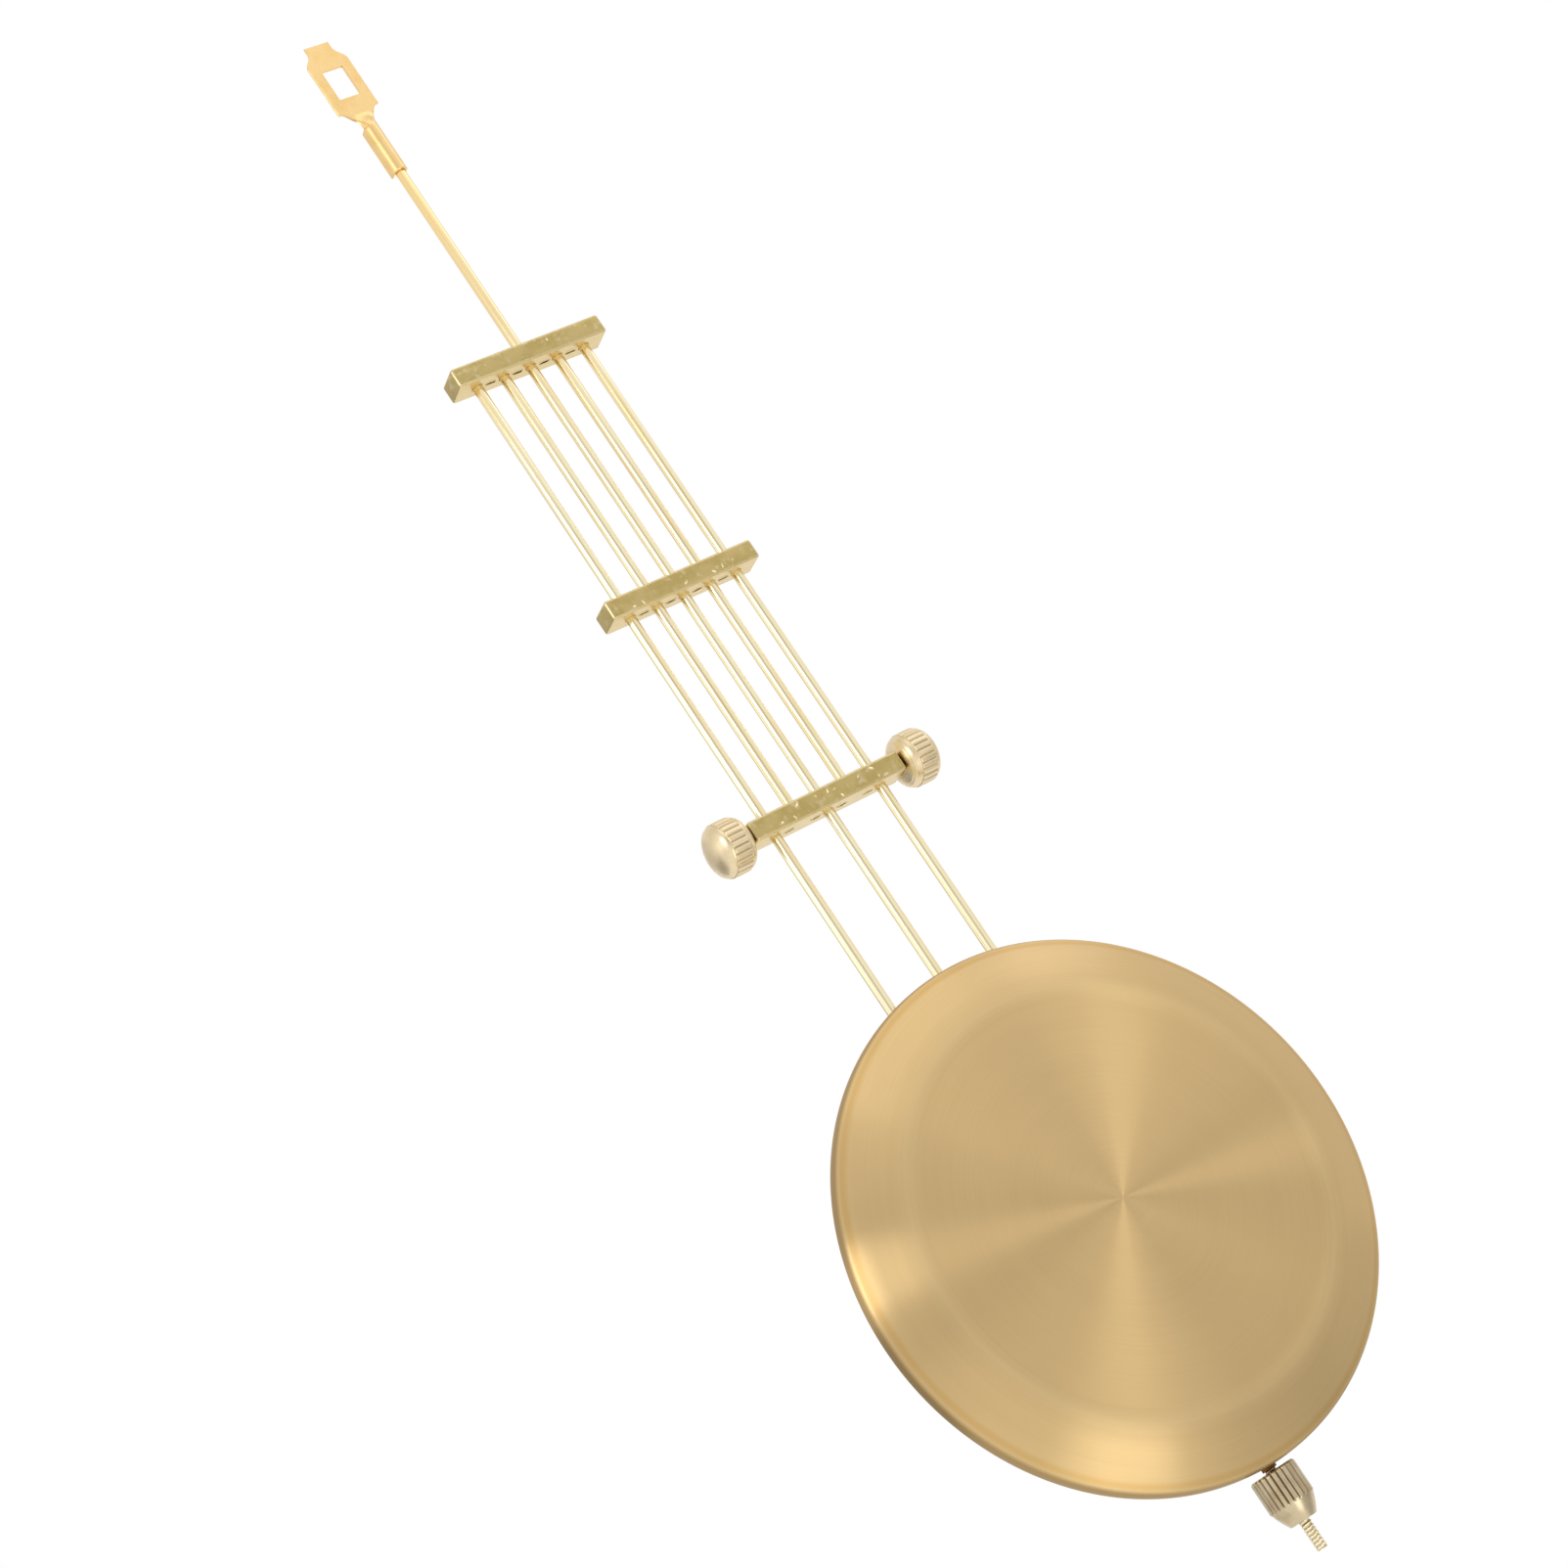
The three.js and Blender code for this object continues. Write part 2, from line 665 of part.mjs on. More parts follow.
addPiece('upper_crossbar', crossbar(barLength, [], false), barBrass, 0, -upperBarDrop);
addPiece('middle_crossbar', crossbar(barLength, [], false), barBrass, 0, -middleBarDrop);
addPiece('lower_crossbar', crossbar(lowerBarLength, [-1, 1], true), barBrass, 0, -lowerBarDrop);

for (const [side, turn] of [['left', Math.PI], ['right', 0]]) {
  const endX = (lowerBarLength / 2) * Math.cos(turn);
  const stud = addPiece(`${side}_knob_stud`, knobStud(), rodBrass, endX, -lowerBarDrop);
  const knob = addPiece(`${side}_knob`, sideKnob(), knobBrass, endX, -lowerBarDrop);
  stud.rotation.z = turn;
  knob.rotation.z = turn;
}

addPiece('bob_shell', bobShell(), bobBrass, 0, -bobDrop);
addPiece('bob_weight', bobWeight(), castIron, 0, -bobDrop);
addPiece('bob_back_plate', bobBackPlate(), backBrass, 0, -bobDrop);
addPiece('upper_guide', upperGuide(), barBrass, 0, upperGuideZ);
addPiece('lower_guide', lowerGuide(), barBrass, 0, lowerGuideZ);
addPiece('guide_bush', guideBush(), rodBrass, 0, bushBottomZ);
const screwNames = ['upper_guide_screw_left', 'upper_guide_screw_right'];
screwNames.push('lower_guide_screw_left', 'lower_guide_screw_right');
screwPlaces().forEach(([x, z], i) => addPiece(screwNames[i], guideScrew(), screwSteel, x, z));
addPiece('rating_nut', ratingNut(), nutBrass, 0, nutTopZ);

export default pendulum;
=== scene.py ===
import bmesh
import bpy
import numpy as np
from mathutils import Matrix, Vector


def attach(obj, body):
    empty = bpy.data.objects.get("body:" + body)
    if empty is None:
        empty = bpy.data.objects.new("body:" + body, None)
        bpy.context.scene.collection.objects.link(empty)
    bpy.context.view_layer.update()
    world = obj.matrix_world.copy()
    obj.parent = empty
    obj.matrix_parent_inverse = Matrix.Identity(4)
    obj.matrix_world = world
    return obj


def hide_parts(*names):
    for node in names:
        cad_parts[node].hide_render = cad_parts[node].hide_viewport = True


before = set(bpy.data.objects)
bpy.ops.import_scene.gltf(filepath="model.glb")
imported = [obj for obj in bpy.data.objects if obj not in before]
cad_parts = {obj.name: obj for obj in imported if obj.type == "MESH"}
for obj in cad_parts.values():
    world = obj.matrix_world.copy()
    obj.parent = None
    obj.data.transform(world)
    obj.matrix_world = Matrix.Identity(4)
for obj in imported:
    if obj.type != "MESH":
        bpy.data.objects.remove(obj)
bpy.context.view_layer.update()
mm = 0.001   # every length below is written in millimetres
weldDistance = 2e-7   # metres; points closer together than this become one
cutOverrun = 1.0   # how far a cutter stands out of the piece that it cuts
print("scene: CAD frame loaded")

# Colours and nodes


def linearColour(hexText):
    parts = [int(hexText[i:i + 2], 16) / 255 for i in (1, 3, 5)]
    return [p / 12.92 if p <= 0.04045 else ((p + 0.055) / 1.055) ** 2.4 for p in parts] + [1.0]


def addNode(owner, kind, inputs=None, stops=(), **settings):
    made = owner.node_tree.nodes.new(kind)
    for key, value in settings.items():
        setattr(made, key, value)
    for key, value in (inputs or {}).items():
        if isinstance(value, bpy.types.NodeSocket):
            owner.node_tree.links.new(value, made.inputs[key])
        else:
            made.inputs[key].default_value = value
    for i, (place, colour) in enumerate(stops):   # stops of a colour ramp
        stop = made.color_ramp.elements[i] if i < 2 else made.color_ramp.elements.new(place)
        stop.position = place
        stop.color = colour
    return made.outputs


def newMaterial(name):
    material = bpy.data.materials.new(name)
    material.use_nodes = True
    material.node_tree.nodes.clear()
    return material


# Meshes from grids of points


def gridFaces(rows, columns, wrapRows, start):
    # one quad for each cell; the last column joins the first, and so does the last row where it wraps
    i, j = np.meshgrid(np.arange(rows if wrapRows else rows - 1), np.arange(columns), indexing="ij")
    nextI, nextJ = (i + 1) % rows, (j + 1) % columns
    quads = [i * columns + j, i * columns + nextJ, nextI * columns + nextJ, nextI * columns + j]
    return np.stack(quads, -1).reshape(-1, 4) + start


def gridMesh(name, grids, wrapRows=False, uv=None):
    # every grid is rows x columns x 3 in mm, and its columns close round the piece
    points, faces, count = [], [], 0
    for grid in grids:
        rows, columns = grid.shape[:2]
        points.append(grid.reshape(-1, 3) * mm)
        faces.append(gridFaces(rows, columns, wrapRows, count))
        count += rows * columns
    points, faces = np.concatenate(points), np.concatenate(faces)
    mesh = bpy.data.meshes.new(name)
    mesh.from_pydata(points.tolist(), [], faces.tolist())
    if uv is not None:   # one (u, v) pair for each point of the first grid
        layer = mesh.uv_layers.new(name="UVMap")
        layer.data.foreach_set("uv", uv.reshape(-1, 2)[faces.ravel()].astype(np.float32).ravel())
    joined = bmesh.new()
    joined.from_mesh(mesh)
    bmesh.ops.remove_doubles(joined, verts=joined.verts, dist=weldDistance)
    bmesh.ops.recalc_face_normals(joined, faces=joined.faces)
    joined.to_mesh(mesh)
    joined.free()
    return mesh


def cutPiece(piece, cutters):
    # takes the cutters, which are closed grids, out of the piece and drops them
    mesh = gridMesh("cutter", cutters)
    tool = bpy.data.objects.new("cutter", mesh)
    bpy.context.scene.collection.objects.link(tool)
    cut = piece.modifiers.new("cut", "BOOLEAN")
    cut.object, cut.operation, cut.solver = tool, "DIFFERENCE", "EXACT"
    seen = piece.evaluated_get(bpy.context.evaluated_depsgraph_get())
    done = bpy.data.meshes.new_from_object(seen)
    piece.modifiers.clear()
    old, name = piece.data, piece.data.name
    piece.data = done
    bpy.data.meshes.remove(old)
    done.name = name
    bpy.data.objects.remove(tool)
    bpy.data.meshes.remove(mesh)


def makePiece(name, grids, material, body, replaces=(), cutters=(), wrapRows=False, sharp=35, uv=None):
    piece = bpy.data.objects.new(name, gridMesh(name, grids, wrapRows, uv))
    bpy.context.scene.collection.objects.link(piece)
    if cutters:
        cutPiece(piece, cutters)
    piece.data.shade_smooth()
    piece.data.set_sharp_from_angle(angle=np.radians(sharp))
    piece.data.materials.clear()
    piece.data.materials.append(material)
    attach(piece, body)
    if replaces:
        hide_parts(*replaces)
    return piece


def markInside(piece, centre, half, rounding, deep, material, frontBand=None):
    # faces whose middle lies deeper than so many mm inside a rounded box take one more material;
    # with a front band, only those less than that far behind the box's front do
    middles = np.empty(len(piece.data.polygons) * 3)
    piece.data.polygons.foreach_get("center", middles)
    middles = middles.reshape(-1, 3) / mm - centre
    past = np.abs(middles) - (np.array(half) - rounding)
    distance = np.linalg.norm(np.maximum(past, 0), axis=1) + np.minimum(past.max(axis=1), 0) - rounding
    inside = distance < -deep
    if frontBand:
        inside &= middles[:, 1] < -half[1] + frontBand
    slots = np.empty(len(middles), int)
    piece.data.polygons.foreach_get("material_index", slots)
    piece.data.materials.append(material)
    slots[inside] = len(piece.data.materials) - 1
    piece.data.polygons.foreach_set("material_index", slots)


def softened(profile, widths, steps=5):
    # each inner corner becomes a curve that starts one width before it and ends one width after it
    mostShare = 0.45   # of a straight stretch, so that two curves never meet
    profile = np.asarray(profile, float)
    widths = np.broadcast_to(widths, len(profile))
    out = [profile[0]]
    t = np.linspace(0, 1, steps)[:, None]
    for i in range(1, len(profile) - 1):
        before, after = profile[i - 1] - profile[i], profile[i + 1] - profile[i]
        w = min(widths[i], mostShare * np.linalg.norm(before), mostShare * np.linalg.norm(after))
        a = profile[i] + before / np.linalg.norm(before) * w
        b = profile[i] + after / np.linalg.norm(after) * w
        out.extend((1 - t) ** 2 * a + 2 * t * (1 - t) * profile[i] + t ** 2 * b)
    out.append(profile[-1])
    return np.array(out)


def turned(profile, sides, axis, centre=(0, 0, 0), cut=None):
    # each (along, radius) point goes round the axis; cut gives how much to take off the radius
    along, radius = np.asarray(profile, float).T
    angle = np.arange(sides) * 2 * np.pi / sides
    a = np.repeat(along[:, None], sides, 1)
    r = radius[:, None] - (cut(along[:, None], angle[None, :]) if cut else 0)
    r = np.maximum(r, 0) * np.ones((1, sides))
    u, v = r * np.cos(angle), r * np.sin(angle)
    grid = {"x": (a, u, v), "y": (v, a, u), "z": (u, v, a)}[axis]
    return np.stack(grid, -1) + np.asarray(centre, float)


def cutShare(profile, sides, cut, depth):
    # how deep the cut is at each point, from 0 to 1, kept as the first of two texture coordinates
    along = np.asarray(profile, float)[:, :1]
    angle = np.arange(sides)[None, :] * 2 * np.pi / sides
    share = cut(along, angle) / depth * np.ones((1, sides))
    return np.stack([share, 0 * share], -1)


def boxGrid(low, high):
    # a closed box as four rows of four corners, with both end rows drawn to a point
    (x0, y0, z0), (x1, y1, z1) = low, high
    ring = [(x0, y0), (x1, y0), (x1, y1), (x0, y1)]
    middle = ((x0 + x1) / 2, (y0 + y1) / 2)
    lower, upper = [(x, y, z0) for x, y in ring], [(x, y, z1) for x, y in ring]
    return np.array([[(*middle, z0)] * 4, lower, upper, [(*middle, z1)] * 4], float)


def eased(share):
    held = np.clip(share, 0, 1)
    return held * held * (3 - 2 * held)


# Materials


def objectPlace(material, centre=(0, 0, 0), scale=(1, 1, 1)):
    # object coordinates in millimetres, measured from a centre given in millimetres
    place = addNode(material, "ShaderNodeTexCoord")["Object"]
    size = [1000 * s for s in scale]
    shift = [-c * s for c, s in zip(centre, scale)]
    return addNode(material, "ShaderNodeMapping", {"Vector": place, "Location": shift, "Scale": size})[0]


def noiseField(material, place, scale, detail, low=0.3, high=0.7):
    # noise with so many marks in a millimetre, whose values from low to high are stretched to 0 to 1
    field = addNode(material, "ShaderNodeTexNoise", {"Vector": place, "Scale": scale, "Detail": detail})[0]
    return addNode(material, "ShaderNodeMapRange", {"Value": field, "From Min": low, "From Max": high})[0]


def metalShader(material, colour, gloss, relief, more=None):
    inputs = {"Base Color": colour, "Metallic": 1.0, "Roughness": gloss, "Normal": relief}
    inputs.update(more or {})
    shader = addNode(material, "ShaderNodeBsdfPrincipled", inputs)[0]
    addNode(material, "ShaderNodeOutputMaterial", {"Surface": shader})


def layered(material, look, ground, layers):
    # the ground tone with others laid over it in turn, each with its own share from 0 to 1
    mixed = linearColour(look[ground])
    for share, tone in layers:
        mixed = addNode(material, "ShaderNodeMix", {
            0: share, 6: mixed, 7: linearColour(look[tone])}, data_type="RGBA")[2]
    return mixed


def workedMetal(name, look):
    # patches and grain give how many marks fit in a millimetre along each axis
    material = newMaterial(name)
    patch = noiseField(material, objectPlace(material, scale=look["patches"]), 1.0, 3.0, 0.45, 0.68)
    grain = noiseField(material, objectPlace(material, scale=look["grain"]), 1.0, 3.0)
    layers = [(patch, "tint")]
    if "warmTop" in look:   # a tone that comes in between two heights, towards the hanger
        low, high = look["warmHeights"]
        height = addNode(material, "ShaderNodeSeparateXYZ", {"Vector": objectPlace(material)})["Z"]
        warm = addNode(material, "ShaderNodeMapRange", {
            "Value": height, "From Min": low, "From Max": high}, interpolation_type="SMOOTHSTEP")[0]
        layers.append((warm, "warmTop"))
    if "grooveShade" in look:   # painted shade in grooves and thread roots: darker where the piece's own texture coordinate says that a cut is deep
        deep = addNode(material, "ShaderNodeUVMap", uv_map="UVMap")[0]
        layers.append((addNode(material, "ShaderNodeSeparateXYZ", {"Vector": deep})["X"], "grooveShade"))
    base = layered(material, look, "colour", layers)
    low, high = look["roughness"]
    gloss = addNode(material, "ShaderNodeMapRange", {"Value": grain, "To Min": low, "To Max": high})[0]
    relief = addNode(material, "ShaderNodeBump", {
        "Height": grain, "Strength": 0.5, "Distance": look["relief"] * mm})[0]
    metalShader(material, base, gloss, relief)
    return material


# Drawn brass wire, polished: die lines run along it, 0.2 mm apart and 10 mm long, with tan streaks
# nearly 30 mm long
rodBrass = workedMetal("brassDrawnWire", {
    "colour": "#F1E5BF", "tint": "#EBD4A2", "warmTop": "#F0D295", "warmHeights": (-78.0, -14.0),
    "patches": (0.9, 0.9, 0.035), "grain": (5, 5, 0.1), "roughness": (0.13, 0.18), "relief": 0.0015})
# Rolled brass sheet, pressed: satin, with faint marks 0.3 mm wide along the strip
sheetBrass = workedMetal("brassPressedSheet", {
    "colour": "#EBC98D", "tint": "#E5BF7D", "patches": (0.3, 0.3, 0.3), "grain": (3, 3, 0.5),
    "roughness": (0.26, 0.31), "relief": 0.002})
# Turned and lacquered brass: fine tool rings 0.15 mm apart round the knob, which a soft polish has left
knobBrass = workedMetal("brassTurnedKnob", {
    # the darker groove colour is painted shade in the knurl's grooves
    "colour": "#E0CDA9", "tint": "#D4C198", "grooveShade": "#C4B087", "patches": (0.35, 0.35, 0.35),
    "grain": (7, 0.6, 0.6), "roughness": (0.26, 0.34), "relief": 0.001})
# The same turning on the nut, rings 0.15 mm apart round the rod, a little browner from handling
nutBrass = workedMetal("brassTurnedNut", {
    # the darker groove colour is painted shade in the knurl's grooves
    "colour": "#C3B394", "tint": "#AE9C7B", "grooveShade": "#87745A", "patches": (0.4, 0.4, 0.4),
    "grain": (0.6, 0.6, 7), "roughness": (0.22, 0.32), "relief": 0.0015})
# Thread cut with a die: duller than the wire it is cut from, with torn specks 0.3 mm across
threadBrass = workedMetal("brassCutThread", {
    # the darker groove colour is painted shade in the thread's roots
    "colour": "#F6EDD3", "tint": "#E9DDB8", "grooveShade": "#B8A67C", "patches": (0.8, 0.8, 0.8),
    "grain": (3, 3, 3), "roughness": (0.2, 0.32), "relief": 0.003})
# Sintered bronze, soaked in oil: brown and softly shining, with grains 0.25 mm across; its dark brown is
# partly the bronze's own and partly painted shade for the neck between the bob and the nut
bushBronze = workedMetal("bronzeOiledBush", {
    "colour": "#7A5228", "tint": "#5C3E20", "patches": (0.8, 0.8, 0.8), "grain": (4, 4, 4),
    "roughness": (0.3, 0.45), "relief": 0.01})
# Turned steel screws: bright grey, with rings 0.15 mm apart from the lathe
screwSteel = workedMetal("steelTurnedScrew", {
    "colour": "#C9C6BF", "tint": "#B4AFA5", "patches": (0.6, 0.6, 0.6), "grain": (0.6, 7, 0.6),
    "roughness": (0.24, 0.36), "relief": 0.006})
# Cast iron, as cast: dark grey, matt and pitted, with grains 0.5 mm across
castIron = workedMetal("ironCastWeight", {
    "colour": "#6F6B66", "tint": "#57534E", "patches": (0.3, 0.3, 0.3), "grain": (2, 2, 2),
    "roughness": (0.55, 0.75), "relief": 0.08})
# Brass inside holes and stake marks, painted dark brown as shade in the recesses
holeShadeBrass = workedMetal("brassPaintedHoleShade", {
    "colour": "#5E4A2C", "tint": "#43331E", "patches": (1, 1, 1), "grain": (4, 4, 4),
    "roughness": (0.45, 0.6), "relief": 0.01})
# Fresh nicks in the bars: the paler metal under the skin, bright where the tool has torn it
nickBrass = workedMetal("brassFreshNick", {
    "colour": "#EADBB0", "tint": "#D6C38E", "patches": (2, 2, 2), "grain": (5, 5, 5),
    "roughness": (0.3, 0.4), "relief": 0.01})


def barMaterial(look):
    # Extruded brass bar, tumbled: a satin front, with a paler top and bottom that are painted light,
    # standing in for the light they catch
    material = newMaterial("brassTumbledBar")
    place = objectPlace(material)
    patch = noiseField(material, place, 0.35, 5.0, 0.42, 0.6)   # duller patches 3 mm wide
    spots = noiseField(material, place, 0.9, 4.0, 0.56, 0.68)   # a few pale spots 1 mm wide
    dents = noiseField(material, place, 0.65, 2.0)   # soft dents 1.5 mm wide
    along = objectPlace(material, scale=(0.5, 3, 3))
    scuffs = noiseField(material, along, 1.0, 5.0)   # scuffs 2 mm long and 0.3 mm wide
    facing = addNode(material, "ShaderNodeTexCoord")["Normal"]
    turn = addNode(material, "ShaderNodeSeparateXYZ", {"Vector": facing})["Z"]
    squared = addNode(material, "ShaderNodeMath", {0: turn, 1: turn}, operation="MULTIPLY")[0]
    # painted light: faces that point up or down are painted paler
    paintedTopBottomLight = addNode(material, "ShaderNodeMapRange", {
        "Value": squared, "From Min": 0.3, "From Max": 0.7, "To Max": look["topBottomLightShare"]})[0]
    # painted highlight on the rounded edges: the squares of the normal's parts, squared and added, are 1 on
    # a flat and 0.5 on an edge
    squares = addNode(material, "ShaderNodeVectorMath", {0: facing, 1: facing}, operation="MULTIPLY")[0]
    flatness = addNode(material, "ShaderNodeVectorMath", {
        0: squares, 1: squares}, operation="DOT_PRODUCT")["Value"]
    paintedEdgeHighlight = addNode(material, "ShaderNodeMapRange", {
        "Value": flatness, "From Min": 0.98, "From Max": 0.7, "To Max": look["edgeHighlightShare"]})[0]
    base = layered(material, look, "front", [
        (patch, "patch"), (spots, "spot"), (paintedTopBottomLight, "paintedTopBottomLight"), (paintedEdgeHighlight, "edge")])
    low, high = look["roughness"]
    gloss = addNode(material, "ShaderNodeMapRange", {"Value": scuffs, "To Min": low, "To Max": high})[0]
    heights = addNode(material, "ShaderNodeMath", {
        0: scuffs, 1: look["scuffHeight"], 2: dents}, operation="MULTIPLY_ADD")[0]
    relief = addNode(material, "ShaderNodeBump", {
        "Height": heights, "Strength": 0.6, "Distance": look["relief"] * mm})[0]
    metalShader(material, base, gloss, relief)
    return material


# scuffHeight is a share of the dents' depth
barBrass = barMaterial({
    # the paler top-and-bottom colour is painted light
    "front": "#BDA870", "patch": "#B29D62", "spot": "#C8B68A", "paintedTopBottomLight": "#E3CD9C", "topBottomLightShare": 0.8,
    # the paler edge colour is a painted highlight
    "edge": "#D8C698", "edgeHighlightShare": 0.75, "roughness": (0.28, 0.38), "relief": 0.02, "scuffHeight": 0.15})

bobSizes = {
    "centreZ": -203.6, "rimRadius": 39.2, "rimFront": 3.0, "rimLean": 0.1, "rimRise": 1.25,
    "faceFront": 7.9, "faceRadius": 31.2, "roundWidth": 2.2, "roundFront": 5.6, "dish": 0.24,
    "dishRadius": 28.4, "wall": 0.4, "hemDepth": 0.85, "hemWidth": 1.7,
    "softenings": (0, 2.2, 1.6, 0.9, 0.3, 0.6, 0), "sides": 480, "faceRows": 26, "curvePoints": 14,
}
# where the tones of the bob's face change, as radii: a painted highlight that makes a ridge a little
# brighter, a warmer ring by the edge that is a painted reflection band, and the edge itself, darker as
# painted shade
bobTones = [(26.2, "colour"), (28.9, "colour"), (30.7, "ridge"), (32.5, "colour"), (37.6, "colour"),
            (38.1, "tint"), (38.4, "tint"), (38.75, "colour"), (39.1, "rim")]


def spunMaterial(name, look):
    # ring coordinates: the direction from the centre, which has no seam, and the radius along the axis
    material = newMaterial(name)
    place = objectPlace(material, (0, 0, bobSizes["centreZ"]))
    flat = addNode(material, "ShaderNodeVectorMath", {0: place, 1: (1, 0, 1)}, operation="MULTIPLY")[0]
    radius = addNode(material, "ShaderNodeVectorMath", {0: flat}, operation="LENGTH")["Value"]
    outward = addNode(material, "ShaderNodeVectorMath", {0: flat}, operation="NORMALIZE")[0]
    alongAxis = addNode(material, "ShaderNodeCombineXYZ", {"Y": radius})[0]
    ringPlace = addNode(material, "ShaderNodeVectorMath", {0: outward, 1: alongAxis}, operation="ADD")[0]
    # brush lines 0.3 mm apart that each fade within an eighth of a turn; the real ones are too fine to show
    brushed = addNode(material, "ShaderNodeVectorMath", {
        0: ringPlace, 1: (1.2, 3.3, 1.2)}, operation="MULTIPLY")[0]
    lines = noiseField(material, brushed, 1.0, 3.0)
    # broader rings, 4 mm apart, where the brush was pressed harder
    pressed = addNode(material, "ShaderNodeVectorMath", {
        0: ringPlace, 1: (0.8, 0.25, 0.8)}, operation="MULTIPLY")[0]
    rings = noiseField(material, pressed, 1.0, 2.0)
    cloud = noiseField(material, place, 0.06, 3.0)   # clouds 17 mm across
    # pits up to 0.4 mm across in cells 6 mm wide, a few on the whole face and none on the edge
    cell = addNode(material, "ShaderNodeTexVoronoi", {"Vector": flat, "Scale": 0.17, "Randomness": 1.0})
    pit = addNode(material, "ShaderNodeMapRange", {
        "Value": cell["Distance"], "From Min": 0.05, "From Max": 0.02}, interpolation_type="SMOOTHSTEP")[0]
    chance = addNode(material, "ShaderNodeSeparateColor", {"Color": cell["Color"]})[0]
    some = addNode(material, "ShaderNodeMath", {0: chance, 1: 0.7}, operation="GREATER_THAN")[0]
    onFace = addNode(material, "ShaderNodeMath", {0: radius, 1: look["pitReach"]}, operation="LESS_THAN")[0]
    chosen = addNode(material, "ShaderNodeMath", {0: some, 1: onFace}, operation="MULTIPLY")[0]
    pits = addNode(material, "ShaderNodeMath", {0: pit, 1: chosen}, operation="MULTIPLY")[0]
    inner, rim = bobTones[0][0], bobSizes["rimRadius"]
    outer = addNode(material, "ShaderNodeMapRange", {"Value": radius, "From Min": inner, "From Max": rim})[0]
    # the ramp lays the painted ridge highlight, the painted reflection ring and the painted shade of the
    # edge over the face
    mixed = addNode(material, "ShaderNodeValToRGB", {"Fac": outer}, [
        ((at - inner) / (rim - inner), linearColour(look[tone])) for at, tone in bobTones])[0]
    shade = addNode(material, "ShaderNodeMapRange", {"Value": lines, "To Min": 0.98, "To Max": 1.015})[0]
    lined = addNode(material, "ShaderNodeVectorMath", {0: mixed, "Scale": shade}, operation="SCALE")[0]
    # painted shade: darker towards the bottom, standing in for the light that falls more on the top
    height = addNode(material, "ShaderNodeSeparateXYZ", {"Vector": place})["Z"]
    paintedShadeDownward = addNode(material, "ShaderNodeMapRange", {
        "Value": height, "From Min": -39.0, "From Max": 39.0, "To Min": look["bottomShade"], "To Max": 1.0})[0]
    cloudy = addNode(material, "ShaderNodeMapRange", {"Value": cloud, "To Min": 0.975, "To Max": 1.015})[0]
    cloudsAndShade = addNode(material, "ShaderNodeMath", {0: cloudy, 1: paintedShadeDownward}, operation="MULTIPLY")[0]
    cloudedAndShaded = addNode(material, "ShaderNodeVectorMath", {0: lined, "Scale": cloudsAndShade}, operation="SCALE")[0]
    base = addNode(material, "ShaderNodeMix", {
        0: pits, 6: cloudedAndShaded, 7: linearColour(look["pit"])}, data_type="RGBA")[2]
    low, high = look["roughness"]
    rough = addNode(material, "ShaderNodeMapRange", {"Value": rings, "To Min": low, "To Max": high})[0]
    # the edge is polished more than the face, and the change lies between these two radii
    polish = addNode(material, "ShaderNodeMapRange", {
        "Value": radius, "From Min": 31.0, "From Max": 34.0, "To Min": 1.0, "To Max": look["edgePolish"]})[0]
    gloss = addNode(material, "ShaderNodeMath", {0: rough, 1: polish}, operation="MULTIPLY")[0]
    heights = addNode(material, "ShaderNodeMath", {
        0: pits, 1: look["pitHeight"], 2: lines}, operation="MULTIPLY_ADD")[0]
    relief = addNode(material, "ShaderNodeBump", {
        "Height": heights, "Strength": 0.3, "Distance": look["relief"] * mm})[0]
    more = {}
    if look["anisotropy"]:   # the highlight stretches along the radius, across the brush lines
        radial = addNode(material, "ShaderNodeTangent", direction_type="UV_MAP", uv_map="UVMap")[0]
        more = {"Anisotropic": look["anisotropy"], "Tangent": radial}
    metalShader(material, base, gloss, relief, more)
    return material


# Brass spun over a form and brushed in circles on the lathe: light draws out into rays from the centre
bobBrass = spunMaterial("brassSpunBrushed", {
    # the ridge colour is a painted highlight, the ring colour a painted reflection and the rim colour
    # painted shade
    "colour": "#D9BA85", "ridge": "#DEC08B", "tint": "#D4B074", "rim": "#AE9265", "pit": "#6E5836",
    # the darkest share at the bottom is painted shade
    "roughness": (0.37, 0.39), "relief": 0.003, "anisotropy": 1.0, "edgePolish": 0.87, "bottomShade": 0.86,
    "pitReach": 36.0, "pitHeight": -3.0})
# Rolled brass disc, wiped: satin with faint rings
backBrass = spunMaterial("brassRolledBack", {
    "colour": "#CDB07A", "ridge": "#CDB07A", "tint": "#C5A566", "rim": "#CDB07A", "pit": "#8E7448",
    # the darkest share at the bottom is painted shade
    "roughness": (0.38, 0.46), "relief": 0.006, "anisotropy": 0, "edgePolish": 1.0, "bottomShade": 0.95,
    "pitReach": 36.0, "pitHeight": -3.0})
print("scene: materials made")

# Rods

rodSizes = {
    "radius": 0.8, "pitch": 4.67, "sides": 64, "gridTop": -53.9, "innerBottom": -135.4,
    "outerBottom": -188.2, "centreTop": -11.6, "centreBottom": -255.2, "endRound": 0.12, "centreRound": 0.08,
}
# the wire reaches down to wireStop below the thread's top, and the thread starts a little higher, at lap
threadSizes = {
    "pitch": 0.55, "crest": 0.86, "depth": 0.15, "length": 18.25, "rowsPerTurn": 12, "endTaper": 0.35,
    "wireStop": 0.4, "lap": 0.3,
}
# how steep the flanks are, how flat the crests, and how deep the taper at the end, as shares of the depth
threadWave = {"steepness": 1.25, "crestShare": 0.12, "endShare": 0.9}


